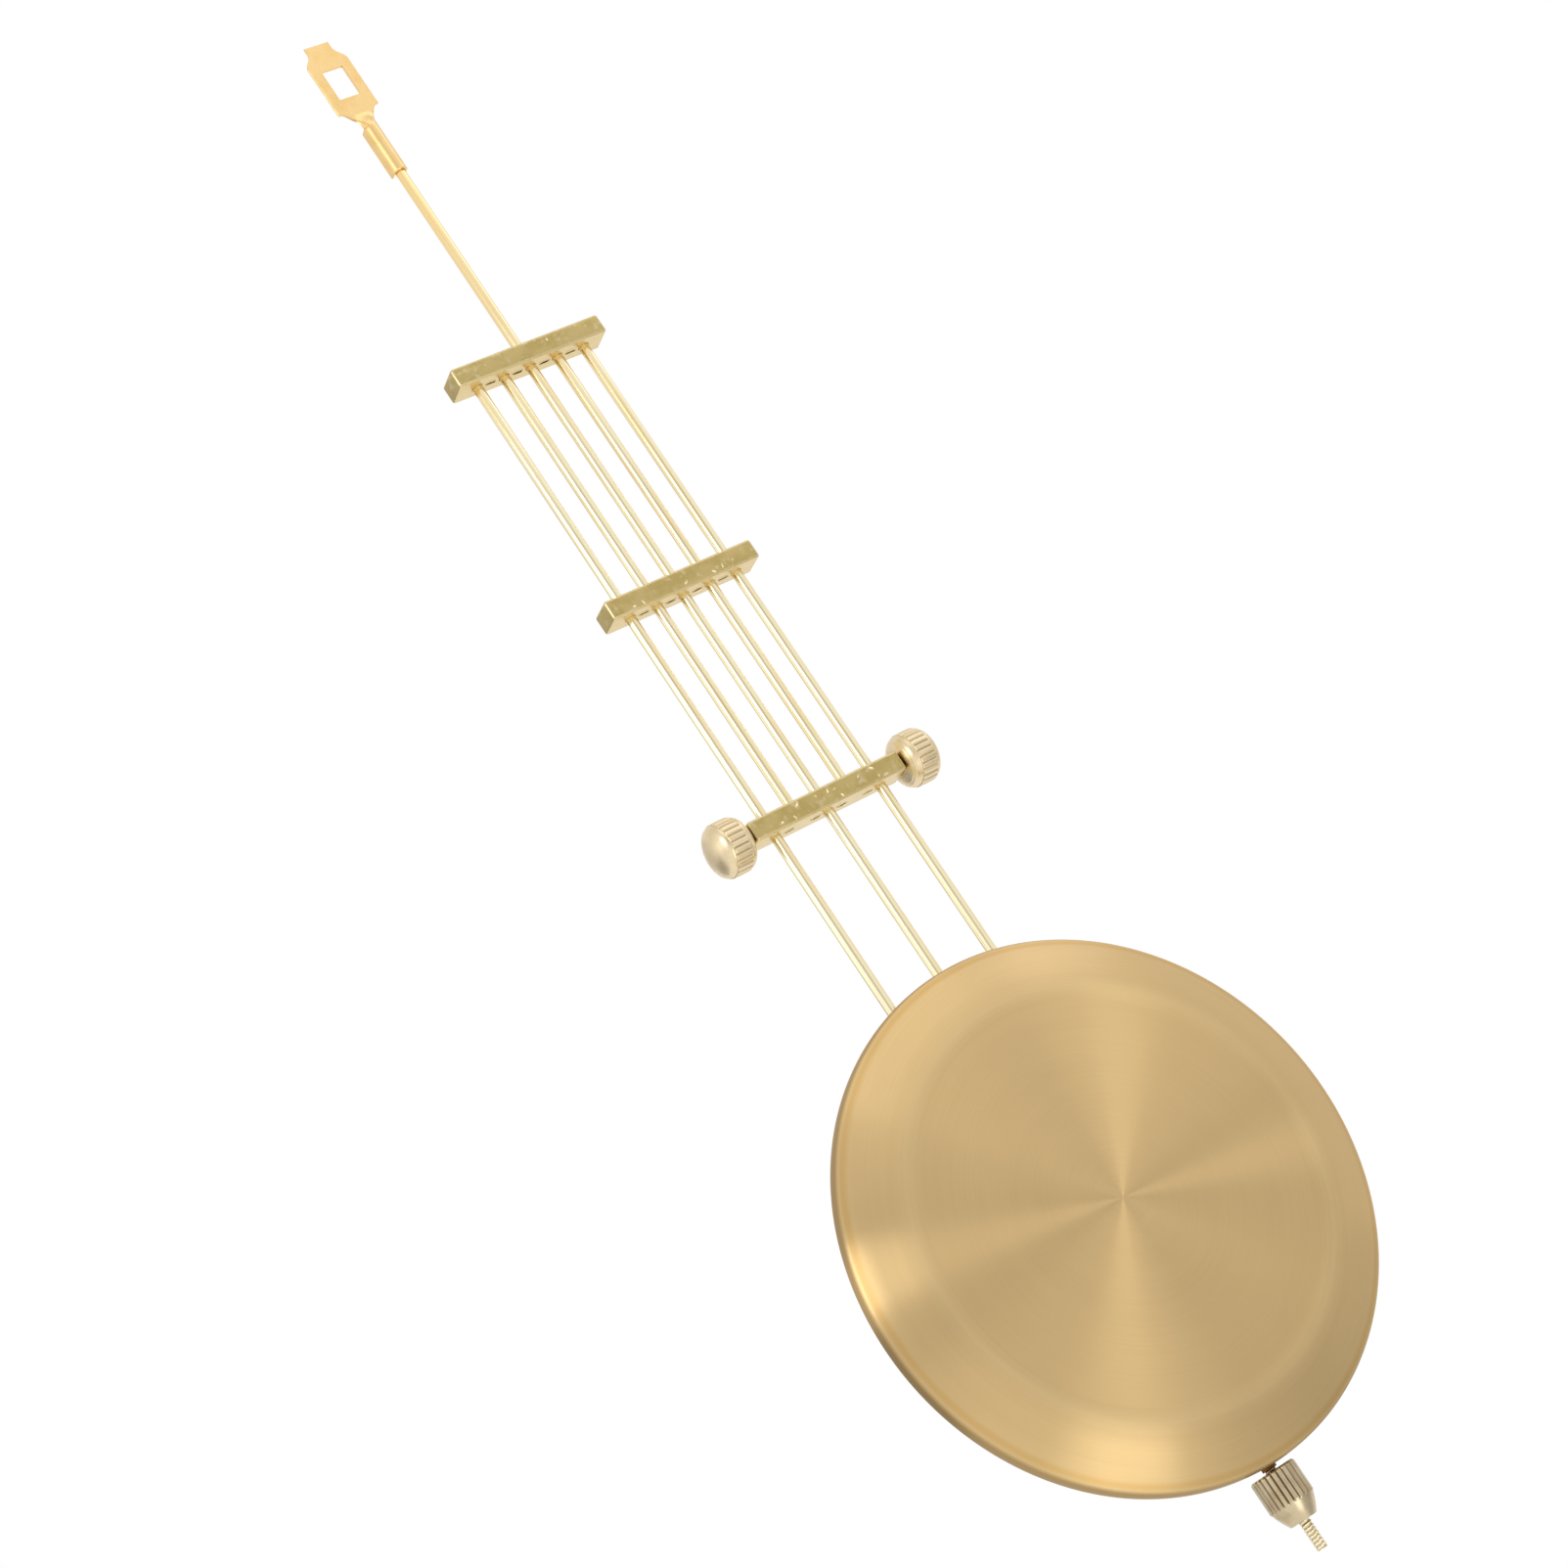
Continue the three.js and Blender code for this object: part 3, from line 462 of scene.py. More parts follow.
def threadCut(pitch, depth, low, high, taper):
    # a groove whose depth is a triangle wave of (height / pitch - angle / full turn), fading at both ends
    def cut(along, angle):
        phase = ((along - low) / pitch - angle / (2 * np.pi)) % 1
        wave = (1 - np.abs(2 * phase - 1)) * threadWave["steepness"] - threadWave["crestShare"]
        fade = np.clip((high - along) / pitch, 0, 1)
        end = np.clip(1 - (along - low) / taper, 0, 1) * depth * threadWave["endShare"]
        return np.maximum(depth * np.clip(wave, 0, 1) * fade, end)
    return cut


for name, number, bottom in (("outer_rod_left", -2, "outerBottom"), ("inner_rod_left", -1, "innerBottom"),
                             ("inner_rod_right", 1, "innerBottom"), ("outer_rod_right", 2, "outerBottom")):
    top, low, r = rodSizes["gridTop"], rodSizes[bottom], rodSizes["radius"]
    line = softened([(top, 0), (top, r), (low, r), (low, 0)], rodSizes["endRound"])
    makePiece(name + "Wire", [turned(line, rodSizes["sides"], "z", (number * rodSizes["pitch"], 0, 0))],
              rodBrass, "frame", (name,))

top, low, r = rodSizes["centreTop"], rodSizes["centreBottom"], rodSizes["radius"]
threadTop = low + threadSizes["length"]
wireEnd = threadTop - threadSizes["wireStop"]
line = softened([(top, 0), (top, r), (wireEnd, r), (wireEnd, 0)], rodSizes["centreRound"])
makePiece("centreRodWire", [turned(line, rodSizes["sides"], "z")], rodBrass, "frame",
          ("centre_rod",))
steps = int(threadSizes["length"] / threadSizes["pitch"] * threadSizes["rowsPerTurn"])
heights = np.linspace(threadTop - threadSizes["lap"], low, steps)
crest = np.full(steps, threadSizes["crest"])
line = np.concatenate([[(heights[0], 0)], np.stack([heights, crest], 1), [(low, 0)]])
thread = threadCut(threadSizes["pitch"], threadSizes["depth"], low, threadTop, threadSizes["endTaper"])
makePiece("centreRodThread", [turned(line, rodSizes["sides"], "z", cut=thread)], threadBrass,
          "frame", sharp=60, uv=cutShare(line, rodSizes["sides"], thread, threadSizes["depth"]))
print("scene: rods and thread made")

# Hanger

hangerSizes = {
    "sheet": 0.4, "slotWidth": 3.6, "slotHeight": 5.4, "tabWidth": 4.2, "tabRise": 4.7, "plateWidth": 7.0,
    "shoulderRise": 3.5, "shoulderHeight": 2.4, "taperDrop": 7.8, "taperHeight": 2.6, "taperEase": 0.4,
    "neckWidth": 3.0, "rollDrop": 8.5, "rollHeight": 3.0, "sleeveDrop": 11.5, "sleeveStep": 0.12,
    "sleeveLength": 8.5, "sleeveRadius": 1.03, "sleeveLeg": 1.0, "legFlare": 0.08, "edgeRound": 0.1,
    "tabRows": 4, "plateRows": 48, "neckRows": 60, "sleeveRows": 24, "across": 72,
}


def hangerGrid(s):
    # a flat sheet whose half width follows the outline; lower down it is rolled round the rod.
    # a point's place across the sheet becomes an angle on the roll, and the straight legs run back from it
    sleeveTop, sleeveEnd = -s["sleeveDrop"], -s["sleeveDrop"] - s["sleeveLength"]
    neckHeight = s["sleeveDrop"] - s["sleeveStep"] - s["taperDrop"]
    down = np.concatenate([
        [s["tabRise"]] * 2,
        np.linspace(s["tabRise"] - s["edgeRound"], s["shoulderRise"], s["tabRows"]),
        np.linspace(s["shoulderRise"], -s["taperDrop"], s["plateRows"])[1:],
        -s["taperDrop"] - neckHeight * np.linspace(0, 1, s["neckRows"])[1:] ** 2,
        np.linspace(sleeveTop, sleeveEnd + s["edgeRound"], s["sleeveRows"]),
        [sleeveEnd] * 2])
    shoulder = eased((s["shoulderRise"] - down) / s["shoulderHeight"])
    taper = np.clip((-s["taperDrop"] - down) / s["taperHeight"], 0, 1) ** s["taperEase"]
    wide, narrow = s["plateWidth"] - s["tabWidth"], s["plateWidth"] - s["neckWidth"]
    half = (s["tabWidth"] + wide * shoulder - narrow * taper) / 2
    quarterTurn = s["sleeveRadius"] * np.pi / 2
    half = np.where(down <= sleeveTop, quarterTurn + s["sleeveLeg"], half)
    roll = eased((-s["rollDrop"] - down) / s["rollHeight"])
    # the sheet is thinner in its first and last rows, which rounds both ends
    thick = np.full(len(down), s["sheet"] / 2)
    thick[[0, -1]] = 0
    thick[[1, -2]] = s["sheet"] / 2 - s["edgeRound"]
    full = thick[:, None] > (s["sheet"] - s["edgeRound"]) / 2
    n = s["across"]
    share = np.concatenate([np.linspace(-1, 1, n), np.linspace(1, -1, n)])
    side = np.concatenate([-np.ones(n), np.ones(n)])
    edge = np.clip((1 - np.abs(share)) * half[:, None] / s["edgeRound"], 0, 1)
    lift = side * (thick[:, None] - s["edgeRound"] * (1 - np.sqrt(1 - (1 - edge) ** 2)) * full)
    x = share * half[:, None]
    turn = np.clip(x / s["sleeveRadius"], -np.pi / 2, np.pi / 2)
    leg = np.maximum(np.abs(x) - quarterTurn, 0)
    rolledX = s["sleeveRadius"] * np.sin(turn) + s["legFlare"] * np.sign(x) * leg ** 2
    rolledY = -s["sleeveRadius"] * np.cos(turn) + leg
    part = roll[:, None]
    midX, midY, lean = x + (rolledX - x) * part, rolledY * part, turn * part
    z = np.repeat(down[:, None], 2 * n, 1)
    return np.stack([midX - np.sin(lean) * lift, midY + np.cos(lean) * lift, z], -1)


slotCutter = boxGrid((-hangerSizes["slotWidth"] / 2, -2 * cutOverrun, -hangerSizes["slotHeight"]),
                     (hangerSizes["slotWidth"] / 2, 2 * cutOverrun, 0))
makePiece("hangerSheet", [hangerGrid(hangerSizes)], sheetBrass, "frame", ("hanger_plate",),
          [slotCutter])
print("scene: hanger made")

# Crossbars

barNames = ("upper_crossbar", "middle_crossbar", "lower_crossbar")
rodNumbers, slitNumbers = (-2, -1, 0, 1, 2), (-1.5, -0.5, 0.5, 1.5)   # places along a bar, in rod pitches
# a face deeper in the bar than holeSkin is in a hole; one deeper than nickSkin is in a nick, if it lies less
# than nickBand behind the front
barSizes = {
    "lengths": (25.7, 25.7, 26.5), "heights": (-55.3, -96.9, -134.7), "height": 3.1, "depth": 4.8,
    "round": 0.4, "roundPoints": 6, "hole": 0.83, "countersink": 0.12, "blindFloor": 0.7, "holeSides": 48,
    "slitLength": 1.5, "slitWidth": 0.48, "slitDepth": 0.7, "slitRootShare": 0.3, "slitHub": 0.2,
    "studHole": 1.03, "studDepth": 2.68, "holeSkin": 0.08, "nickSkin": 0.02, "nickBand": 0.2,
}
# the burr round each stake mark
lipSizes = {"gap": 0.05, "reach": 0.1, "leanShare": 0.4, "riseShare": 0.8, "wobble": 0.25, "waves": 3,
            "endSharpness": 4, "rows": 40, "sides": 10}
# nicks are cones with few sides, each stretched and turned its own way
nickSizes = {"sides": 5, "depth": 0.13, "lead": 0.5, "leadShare": 4.8, "stretch": 1.45, "stretchStep": 0.3,
             "squash": 0.85, "turnStep": 1.9}
# nicks in the front faces: place along the bar, height from its middle, radius
nicks = {
    "upper_crossbar": [(-7.6, 0.2, 0.16), (3.4, 0.5, 0.15)],
    "middle_crossbar": [(-9.1, -0.95, 0.22), (-7.5, -0.9, 0.24), (0.1, -0.7, 0.24), (4.9, -0.9, 0.26),
                        (6.6, -0.6, 0.22)],
    "lower_crossbar": [(-8.6, -0.75, 0.24), (-6.4, -0.85, 0.24), (-5.1, 0.75, 0.3), (-1.9, 0.6, 0.2),
                       (0.2, 0.55, 0.22), (1.3, 0.35, 0.16), (1.9, -0.9, 0.22), (5.7, 0.5, 0.2),
                       (8.2, 0.7, 0.24), (8.6, -0.7, 0.2), (9.7, -0.95, 0.24)],
}


def barGrid(s, length, z):
    # a rounded rectangle carried along X; near both ends it shrinks by a quarter circle to round the edges,
    # and both end rows are drawn to a point
    turn = np.linspace(0, np.pi / 2, s["roundPoints"])
    place = length / 2 - s["round"] * (1 - np.cos(turn))
    radius = s["round"] - s["round"] * (1 - np.sin(turn))
    x = np.concatenate([[-length / 2], -place, place[::-1], [length / 2]])[:, None]
    r = np.concatenate([[0], radius, radius[::-1], [0]])[:, None]
    full = np.ones(r.shape)
    full[[0, -1]] = 0
    corner = np.radians([[0], [90], [180], [270]]) + turn
    signY, signZ = (np.repeat(np.sign(part(corner.mean(axis=1))), len(turn)) for part in (np.cos, np.sin))
    y = full * signY * (s["depth"] / 2 - s["round"]) + r * np.cos(corner.ravel())
    up = full * signZ * (s["height"] / 2 - s["round"]) + r * np.sin(corner.ravel())
    return np.stack([np.broadcast_to(x, y.shape), y, up], -1) + np.array([0, 0, z])


def holeCutters(s, z, isLowest):
    # one hole for each rod, countersunk at both ends; the inner rods end inside the lowest bar
    top, low, r, c = z + s["height"] / 2, z - s["height"] / 2, s["hole"], s["countersink"]
    above, below, mouth = top + cutOverrun, low - cutOverrun, r + c + cutOverrun
    cutters = []
    for number in rodNumbers:
        line = [(above, 0), (above, mouth), (top - c, r), (low + c, r), (below, mouth), (below, 0)]
        if isLowest and abs(number) == 1:
            line = line[:3] + [(low + s["blindFloor"], r), (low + s["blindFloor"], 0)]
        cutters.append(turned(line, s["holeSides"], "z", (number * rodSizes["pitch"], 0, 0)))
    return cutters


def slitCutters(s, z):
    # a wedge between each two rods, cut from below; its end faces meet at a hub on its middle plane
    low, w, half = z - s["height"] / 2, s["slitWidth"] / 2, s["slitLength"] / 2
    root, below = low + s["slitDepth"], low - cutOverrun
    wedge = [(-w, below), (w, below), (w, low), (s["slitRootShare"] * w, root),
             (-s["slitRootShare"] * w, root), (-w, low)]
    cutters = []
    for x in np.array(slitNumbers) * rodSizes["pitch"]:
        rows = [[(x - half, 0, low - s["slitHub"])] * 6, [(x - half, y, up) for y, up in wedge],
                [(x + half, y, up) for y, up in wedge], [(x + half, 0, low - s["slitHub"])] * 6]
        cutters.append(np.array(rows, float))
    return cutters


def studCutters(s, length, z):
    # one hole in each end of the bar
    cutters = []
    for side in (-1, 1):
        end, inner = side * (length / 2 + cutOverrun), side * (length / 2 - s["studDepth"])
        line = [(end, 0), (end, s["studHole"]), (inner, s["studHole"]), (inner, 0)]
        cutters.append(turned(line, s["holeSides"], "x", (0, 0, z)))
    return cutters


def nickCutters(s, places, front, z):
    cutters = []
    for i, (x, up, radius) in enumerate(places):
        start = front - s["lead"]
        cone = [(start, 0), (start, radius * s["leadShare"]), (front + s["depth"], 0)]
        stretch = s["stretch"] + s["stretchStep"] * (i % 3)
        grid = turned(cone, s["sides"], "y") * (stretch, 1, s["squash"])
        turn = s["turnStep"] * i
        across, height = grid[..., 0].copy(), grid[..., 2].copy()
        grid[..., 0] = x + across * np.cos(turn) - height * np.sin(turn)
        grid[..., 2] = z + up + across * np.sin(turn) + height * np.cos(turn)
        cutters.append(grid)
    return cutters


def slitLip(s, lip, x, low):
    # the burr round a stake mark: a thin ring carried round an oblong, half sunk in the bar's underside
    turn = np.linspace(0, 2 * np.pi, lip["rows"], endpoint=False)[:, None]
    tube = np.linspace(0, 2 * np.pi, lip["sides"], endpoint=False)[None, :]
    ends = np.sign(np.cos(turn)) * np.minimum(1, np.abs(np.cos(turn)) * lip["endSharpness"])
    straight = (s["slitLength"] - s["slitWidth"]) / 2 * ends
    reach = lip["reach"] * (1 - lip["leanShare"] + lip["leanShare"] * np.cos(tube))
    out = s["slitWidth"] / 2 + lip["gap"] + reach
    wobble = 1 + lip["wobble"] * np.sin(lip["waves"] * turn + x)
    z = low + lip["reach"] * wobble * np.sin(tube) * lip["riseShare"]
    along = x + straight + out * np.cos(turn) * wobble
    return np.stack(np.broadcast_arrays(along, out * np.sin(turn), z), -1)


for name, length, z in zip(barNames, barSizes["lengths"], barSizes["heights"]):
    isLowest = name == "lower_crossbar"
    cutters = holeCutters(barSizes, z, isLowest) + slitCutters(barSizes, z)
    if isLowest:
        cutters += studCutters(barSizes, length, z)
    cutters += nickCutters(nickSizes, nicks[name], -barSizes["depth"] / 2, z)
    bar = makePiece(name + "Body", [barGrid(barSizes, length, z)], barBrass, "frame", (name,),
                    cutters, sharp=25)
    middle, half = (0, 0, z), (length / 2, barSizes["depth"] / 2, barSizes["height"] / 2)
    # faces inside the holes and slits take the painted shade colour
    markInside(bar, middle, half, barSizes["round"], barSizes["holeSkin"], holeShadeBrass)
    markInside(bar, middle, half, barSizes["round"], barSizes["nickSkin"], nickBrass, barSizes["nickBand"])
    lips = [slitLip(barSizes, lipSizes, number * rodSizes["pitch"], z - barSizes["height"] / 2)
            for number in slitNumbers]
    makePiece(name + "StakeLips", lips, nickBrass, "frame", wrapRows=True)
print("scene: crossbars made")

# Side knobs and studs

# heights along the axis start at the bar's end; edgeRows lie this far inside each end of the knurled band
knobSizes = {
    "standoff": 0.1, "domeRise": 1.75, "bandWidth": 2.75, "radius": 4.1, "ledge": 0.2, "flatRadius": 1.5,
    "fullness": 0.035, "ringPlaces": (0.3, 1.1), "ringDepth": 0.05, "ringWidth": 0.06, "outerFlatter": 0.1,
    "bandSag": 0.04, "bandRound": 0.1, "bandPower": 40, "edgeRows": (0.02, 0.08, 0.14),
    "grooves": 26, "grooveDepth": 0.17, "grooveWidth": 0.52, "grooveFade": 0.12,
    "boreEnd": 4.15, "boreRadius": 1.03, "boreRound": 0.1, "faceStep": 0.15,
    "columns": 416, "innerRows": 40, "bandRows": 24, "outerRows": 48,
}
studSizes = {"low": -2.48, "high": 3.95, "pitch": 0.4, "crest": 0.98, "depth": 0.2, "taper": 0.3,
             "rowsPerTurn": 12, "sides": 64}


def grooves(count, depth, width, low, high, fade):
    # straight V grooves along the axis, as wide as a share of their spacing, fading out at both ends
    def cut(along, angle):
        phase = (count * angle / (2 * np.pi)) % 1
        groove = np.clip(1 - np.abs(phase - 0.5) / (width / 2), 0, 1)
        inside = np.clip(np.minimum(along - low, high - along) / fade, 0, 1)
        return depth * groove * inside
    return cut


def knobGrid(s):
    # bore, inner dome with two fine rings, knurled band a little proud and slightly barrelled, outer dome
    start = s["standoff"] + s["domeRise"]
    end = start + s["bandWidth"]
    dome = s["radius"] - s["ledge"]
    t = np.linspace(np.arccos(s["flatRadius"] / dome), 0, s["innerRows"])
    fuller = 1 + s["fullness"] * np.sin(2 * t) ** 2   # a little fuller than an ellipse
    inner = np.stack([start - s["domeRise"] * np.sin(t) * fuller / fuller[0], dome * np.cos(t) * fuller], 1)
    inner[:, 1] -= s["ringDepth"] * sum(
        np.exp(-((inner[:, 0] - start + place) / s["ringWidth"]) ** 2) for place in s["ringPlaces"])
    first, second, third = s["edgeRows"]
    even = np.linspace(start + third, end - third, s["bandRows"])
    x = np.concatenate([[start + first, start + second], even, [end - second, end - first]])
    middle = (x - (start + end) / 2) / (s["bandWidth"] / 2)
    sag = s["bandSag"] * middle ** 2
    band = np.stack([x, s["radius"] - sag - s["bandRound"] * np.abs(middle) ** s["bandPower"]], 1)
    t = np.linspace(0, np.pi / 2, s["outerRows"])
    outer = np.stack([end + (s["domeRise"] - s["outerFlatter"]) * np.sin(t), dome * np.cos(t)], 1)
    face, r, rounding = inner[0, 0], s["boreRadius"], s["boreRound"]
    bore = [(s["boreEnd"], 0), (s["boreEnd"], r), (face + rounding, r), (face, r + rounding),
            (face, s["flatRadius"] - s["faceStep"])]
    line = np.concatenate([bore, inner, band, outer])
    cut = grooves(s["grooves"], s["grooveDepth"], s["grooveWidth"], start, end, s["grooveFade"])
    return turned(line, s["columns"], "x", cut=cut), cutShare(line, s["columns"], cut, s["grooveDepth"])


def studGrid(s):
    low, high = s["low"], s["high"]
    rows = np.linspace(low, high, int((high - low) / s["pitch"] * s["rowsPerTurn"]))
    line = np.concatenate([[(low, 0)], np.stack([rows, np.full(len(rows), s["crest"])], 1), [(high, 0)]])
    cut = threadCut(s["pitch"], s["depth"], low, high, s["taper"])
    return turned(line, s["sides"], "x", cut=cut), cutShare(line, s["sides"], cut, s["depth"])


(knobShape, knobDepth), (studShape, studDepth) = knobGrid(knobSizes), studGrid(studSizes)
for side, word in ((-1, "left"), (1, "right")):
    end = np.array([barSizes["lengths"][2] / 2, 0, 0])
    flip = np.array([side, side, 1])   # half a turn about Z, so the thread keeps its hand
    shift = np.array([0, 0, barSizes["heights"][2]])
    makePiece(word + "KnobTurned", [(knobShape + end) * flip + shift], knobBrass,
              word + "_knob", (word + "_knob",), sharp=40, uv=knobDepth)
    makePiece(word + "StudThread", [(studShape + end) * flip + shift], threadBrass,
              word + "_stud", (word + "_knob_stud",), sharp=60, uv=studDepth)
print("scene: knobs made")

# Bob


def bobLine(s):
    # flat face, bend, shallow cone, rounded edge and rolled hem; the inside runs one wall behind it.
    # inside the bend the face is pressed in a little, which leaves a soft ridge round it
    rim, front, hem = s["rimRadius"], -s["rimFront"], -s["rimFront"] + s["hemDepth"]
    corners = np.array([
        (0, -s["faceFront"]), (s["faceRadius"], -s["faceFront"]), (rim - s["roundWidth"], -s["roundFront"]),
        (rim - s["rimLean"], front - s["rimRise"]), (rim, front), (rim - s["rimLean"], hem),
        (rim - s["hemWidth"], hem)])
    outer = softened(corners, s["softenings"], s["curvePoints"])
    spread = outer[1, 0] * np.sin(np.linspace(0, np.pi / 2, s["faceRows"]))[:-1]   # closer by the bend
    face = np.stack([spread, np.full(len(spread), -s["faceFront"])], 1)
    outer = np.concatenate([face, outer[1:]])
    along = np.gradient(outer, axis=0)
    along /= np.linalg.norm(along, axis=1)[:, None]
    inner = outer + np.stack([-along[:, 1], along[:, 0]], 1) * s["wall"]
    inner[:, 0] = np.clip(inner[:, 0], 0, rim - s["wall"])
    inner[0, 0] = 0
    ridge = eased((outer[:, 0] - s["dishRadius"]) / (s["faceRadius"] - s["dishRadius"]))
    outer[:, 1] += s["dish"] * (1 - ridge)
    return np.concatenate([outer, inner[::-1]])


# the texture coordinates run along the profile, in steps of 100 mm, and round the axis, in turns
line = bobLine(bobSizes)
reach = np.concatenate([[0], np.cumsum(np.linalg.norm(np.diff(line, axis=0), axis=1))])
uv = np.stack(np.meshgrid(reach / 100, np.arange(bobSizes["sides"]) / bobSizes["sides"], indexing="ij"), -1)
shell = turned(line[:, ::-1], bobSizes["sides"], "y", (0, 0, bobSizes["centreZ"]))
makePiece("bobShellSpun", [shell], bobBrass, "bob", ("bob_shell",), sharp=50, uv=uv)
print("scene: bob shell made")

# Guide bush and guide screws

bushSizes = {
    "inner": 0.88, "outer": 1.3, "nose": 1.08, "noseTop": -241.4, "noseSlope": 0.3, "bottom": -243.15,
    "top": -235.95, "round": 0.05, "sides": 96,
}
b = bushSizes
line = softened([(b["bottom"], b["inner"]), (b["bottom"], b["nose"]),
                 (b["noseTop"] - b["noseSlope"], b["nose"]), (b["noseTop"], b["outer"]),
                 (b["top"], b["outer"]), (b["top"], b["inner"]), (b["bottom"], b["inner"])], b["round"])
makePiece("guideBushTurned", [turned(line, b["sides"], "z")], bushBronze, "bob", ("guide_bush",))

screwSizes = {
    "radius": 0.8, "headRadius": 1.4, "seat": 1.95, "headHeight": 0.7, "tip": -4.3, "slot": 0.4,
    "slotDepth": 0.35, "slotReach": 2.0, "softenings": (0, 0.1, 0, 0.05, 0.3, 0), "sides": 64,
}
screwPlaces = {
    "upper_guide_screw_left": (-4.67, -172.6), "upper_guide_screw_right": (4.67, -172.6),
    "lower_guide_screw_left": (-4.0, -237.6), "lower_guide_screw_right": (4.0, -237.6),
}
for name, (x, z) in screwPlaces.items():
    s = screwSizes
    rear = s["seat"] + s["headHeight"]
    line = softened([(s["tip"], 0), (s["tip"], s["radius"]), (s["seat"], s["radius"]),
                     (s["seat"], s["headRadius"]), (rear, s["headRadius"]), (rear, 0)], s["softenings"])
    slotCutter = boxGrid((x - s["slotReach"], rear - s["slotDepth"], z - s["slot"] / 2),
                         (x + s["slotReach"], rear + cutOverrun, z + s["slot"] / 2))
    makePiece(name + "Turned", [turned(line, s["sides"], "y", (x, 0, z))], screwSteel, "bob",
              (name,), [slotCutter])
print("scene: guides made")

# Rating nut

# heights are measured down from the top face; mouths are the chamfers of the bore
nutSizes = {
    "top": -243.45, "radius": 3.35, "knurl": 4.85, "cone": 2.6, "ledge": 0.12, "endRadius": 2.0,
    "swell": 0.1, "bore": 0.88, "topMouth": (0.15, 0.2), "endMouth": (0.2, 0.25), "endLip": 0.02,
    "chamfer": 0.3, "shoulder": (0.1, 0.14), "barrelTop": 0.3, "barrelGap": 0.15,
    "grooves": 24, "grooveDepth": 0.2, "grooveWidth": 0.48, "grooveTop": 0.05, "grooveFade": 0.2,
    "columns": 384, "coneRows": 30, "barrelRows": 24,
}


def nutGrid(s):
    # bore, top face, chamfer, knurled barrel, then a cone that swells very slightly on its way down
    t = np.linspace(0, 1, s["coneRows"])
    edge = s["radius"] - s["ledge"]
    coneRadius = edge + (s["endRadius"] - edge) * t + s["swell"] * np.sin(np.pi * t)
    cone = np.stack([-s["knurl"] - s["cone"] * t, coneRadius], 1)
    depth = np.linspace(s["barrelTop"], s["knurl"] - s["barrelGap"], s["barrelRows"])
    barrel = np.stack([-depth, np.full(len(depth), s["radius"])], 1)
    end = -s["knurl"] - s["cone"]
    topDepth, topWidth = s["topMouth"]
    endDepth, endWidth = s["endMouth"]
    shoulderDrop, shoulderInset = s["shoulder"]
    head = [(-topDepth, s["bore"]), (0, s["bore"] + topWidth), (0, s["radius"] - s["chamfer"]),
            (-shoulderDrop, s["radius"] - shoulderInset)]
    tail = [(end - s["endLip"], s["bore"] + endWidth), (end + endDepth, s["bore"]), (-topDepth, s["bore"])]
    line = np.concatenate([head, barrel, cone, tail])
    cut = grooves(s["grooves"], s["grooveDepth"], s["grooveWidth"], -s["knurl"], s["grooveTop"],
                  s["grooveFade"])
    depths = cutShare(line, s["columns"], cut, s["grooveDepth"])
    return turned(line, s["columns"], "z", (0, 0, s["top"]), cut), depths


nutShape, nutDepth = nutGrid(nutSizes)
makePiece("ratingNutTurned", [nutShape], nutBrass, "rating_nut", ("rating_nut",), sharp=40,
          uv=nutDepth)
print("scene: rating nut made")

# CAD pieces whose shape is right take the same finishes

for name, material in (("upper_guide", barBrass), ("lower_guide", barBrass), ("bob_back_plate", backBrass),
                       ("bob_weight", castIron)):
    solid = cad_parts[name]
    solid.data.materials.clear()
    solid.data.materials.append(material)

# Floor, world, cards and lamps

studio = {
    "middle": (0, 0, bobSizes["centreZ"]), "floorHeight": -640, "floorSize": 6000, "worldStrength": 1.0,
    "paperColour": "#F4F4F2", "paperRoughness": 0.9, "paperGlow": 0.14,
    # azimuth from the front towards +X, elevation and distance from the bob's middle, sides in mm,
    # brightness, tint
    "cards": {
        "cameraFlag": (-12, 14, 1350, 700, 800, 0.63, "#FFFFFF"),
        "leftWideCard": (-90, 18, 1250, 1560, 440, 1.45, "#FFFFFF"),
        "leftEdgeFlag": (-158, 20, 1250, 900, 500, 0.78, "#FFFFFF"),
        "rearLeftFlag": (-142, -14, 1200, 800, 1000, 0.44, "#FFFFFF"),
        "lowRightFlag": (58, -34, 460, 470, 340, 0.68, "#FFFFFF"),
        "topCard": (22, 55, 1300, 1000, 760, 1.5, "#FFFFFF"),
        "topRightCard": (62, 40, 1300, 560, 400, 1.9, "#F6F6FF"),
        "nutCard": (-3, -43, 480, 180, 170, 2.6, "#FFFFFF"),
    },
    "lamps": {
        "keySoftbox": (-62, 22, 1100, 560, 360, 3.4, "#FFFFFF"),
        "lowLight": (2, -31, 600, 220, 120, 1.5, "#FFFFFF"),
    },
}


def aimed(azimuth, elevation, distance):
    # centre of a card or lamp, the way from the bob's middle to it, and the ways of its width and height
    a, e = np.radians(azimuth), np.radians(elevation)
    out = np.array([np.sin(a) * np.cos(e), -np.cos(a) * np.cos(e), np.sin(e)])
    across = np.array([np.cos(a), np.sin(a), 0])
    return np.array(studio["middle"]) + out * distance, out, across, np.cross(across, out)


def stagePiece(name, corners, material):
    mesh = bpy.data.meshes.new(name)
    mesh.from_pydata((np.array(corners, float) * mm).tolist(), [], [(0, 1, 2, 3)])
    mesh.materials.append(material)
    piece = bpy.data.objects.new(name, mesh)
    bpy.context.scene.collection.objects.link(piece)
    return piece


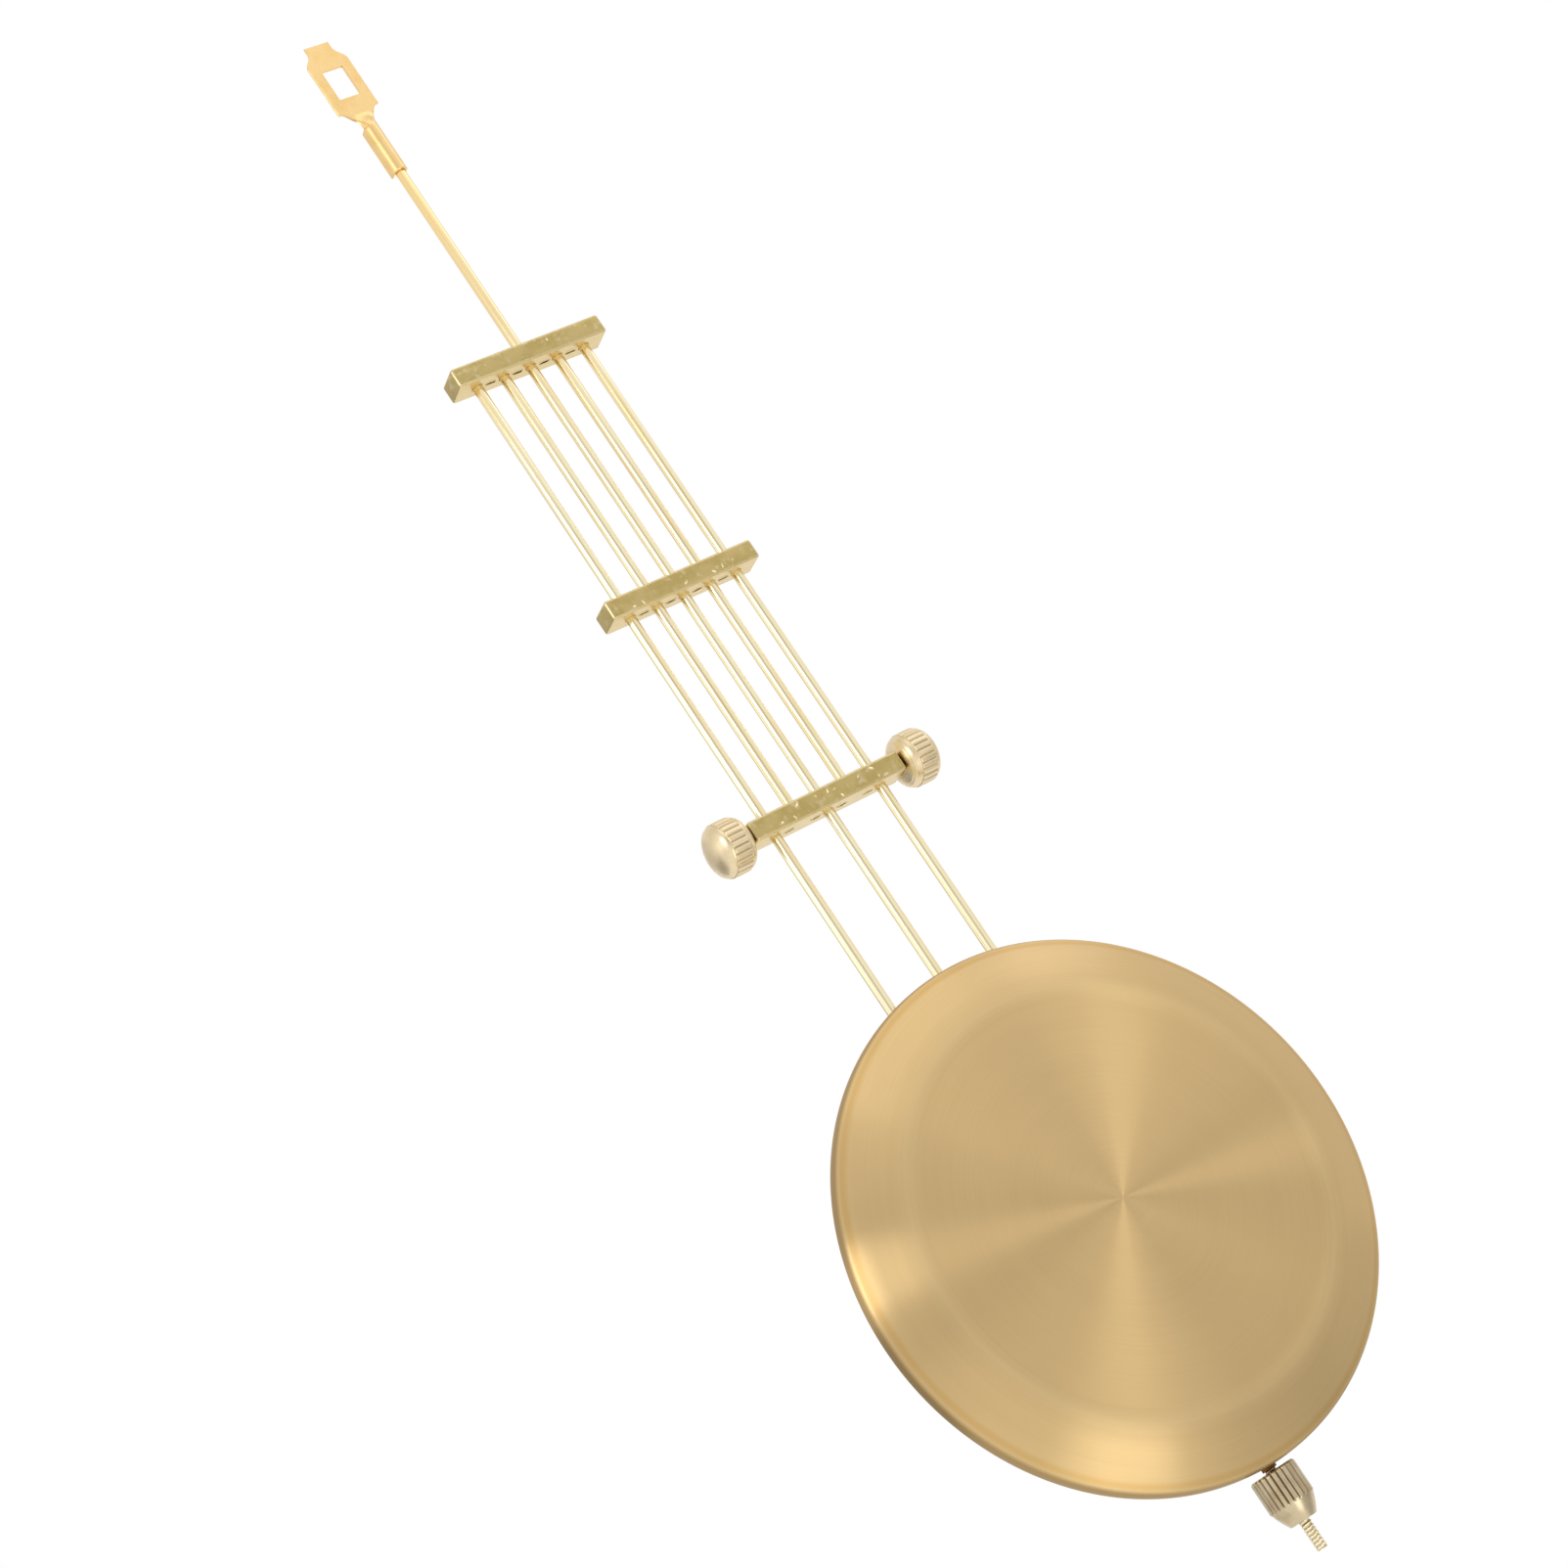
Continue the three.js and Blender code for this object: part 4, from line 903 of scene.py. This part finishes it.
# Matt white paper: pale and even, so that it keeps the part's soft shadow; its faint glow lifts it to white
paper = newMaterial("paperMattWhite")
sheet = addNode(paper, "ShaderNodeBsdfPrincipled", {
    "Base Color": linearColour(studio["paperColour"]), "Roughness": studio["paperRoughness"]})[0]
glow = addNode(paper, "ShaderNodeEmission", {"Color": (1, 1, 1, 1), "Strength": studio["paperGlow"]})[0]
lit = addNode(paper, "ShaderNodeAddShader", {0: sheet, 1: glow})[0]
addNode(paper, "ShaderNodeOutputMaterial", {"Surface": lit})
half, height = studio["floorSize"] / 2, studio["floorHeight"]
floorCorners = [(-half, -half, height), (half, -half, height), (half, half, height), (-half, half, height)]
stagePiece("studioFloor", floorCorners, paper)

world = bpy.data.worlds.new("studioWorld")
world.use_nodes = True
world.node_tree.nodes.clear()
white = addNode(world, "ShaderNodeBackground", {
    "Color": (1, 1, 1, 1), "Strength": studio["worldStrength"]})[0]
addNode(world, "ShaderNodeOutputWorld", {"Surface": white})
bpy.context.scene.world = world

for name, (azimuth, elevation, distance, wide, high, strength, tint) in studio["cards"].items():
    centre, out, across, up = aimed(azimuth, elevation, distance)
    a, u = across * wide / 2, up * high / 2
    cardFace = newMaterial(name + "Card")
    glow = addNode(cardFace, "ShaderNodeEmission", {"Color": linearColour(tint), "Strength": strength})[0]
    addNode(cardFace, "ShaderNodeOutputMaterial", {"Surface": glow})
    card = stagePiece(name, [centre - a - u, centre + a - u, centre + a + u, centre - a + u], cardFace)
    card.visible_camera = card.visible_diffuse = card.visible_shadow = False   # it shows in reflections only

for name, (azimuth, elevation, distance, wide, high, strength, tint) in studio["lamps"].items():
    centre, out, across, up = aimed(azimuth, elevation, distance)
    lamp = bpy.data.lights.new(name, "AREA")
    lamp.shape, lamp.size, lamp.size_y = "RECTANGLE", wide * mm, high * mm
    lamp.energy = strength * np.pi * wide * high * mm * mm   # watts that make the lamp's face that bright
    lamp.color = linearColour(tint)[:3]
    holder = bpy.data.objects.new(name, lamp)
    bpy.context.scene.collection.objects.link(holder)
    holder.rotation_euler = Vector(out).to_track_quat("Z", "Y").to_euler()
    holder.location = centre * mm
    holder.visible_camera = False

# Camera, fitted to the photograph: rows are the camera's right, down and forward in the part's frame

cameraFit = {
    "place": (-232.21, -391.88, -241.40), "lens": 77.17, "sensorWidth": 36.0, "near": 0.01, "far": 20.0,
    "right": (0.78499, -0.30452, -0.53949), "down": (-0.37981, 0.45141, -0.80745),
    "forward": (0.48942, 0.83874, 0.23870),
}
cameraData = bpy.data.cameras.new("photoCamera")
cameraData.lens, cameraData.sensor_width = cameraFit["lens"], cameraFit["sensorWidth"]
cameraData.clip_start, cameraData.clip_end = cameraFit["near"], cameraFit["far"]   # metres
camera = bpy.data.objects.new("photoCamera", cameraData)
bpy.context.scene.collection.objects.link(camera)
axes = np.array([cameraFit["right"], -np.array(cameraFit["down"]), -np.array(cameraFit["forward"])]).T
pose = np.eye(4)
pose[:3, :3], pose[:3, 3] = axes, np.array(cameraFit["place"]) * mm
camera.matrix_world = Matrix(pose.tolist())
bpy.context.scene.camera = camera
bpy.context.scene.view_settings.view_transform = "Standard"
print("scene: stage, lamps and camera made")
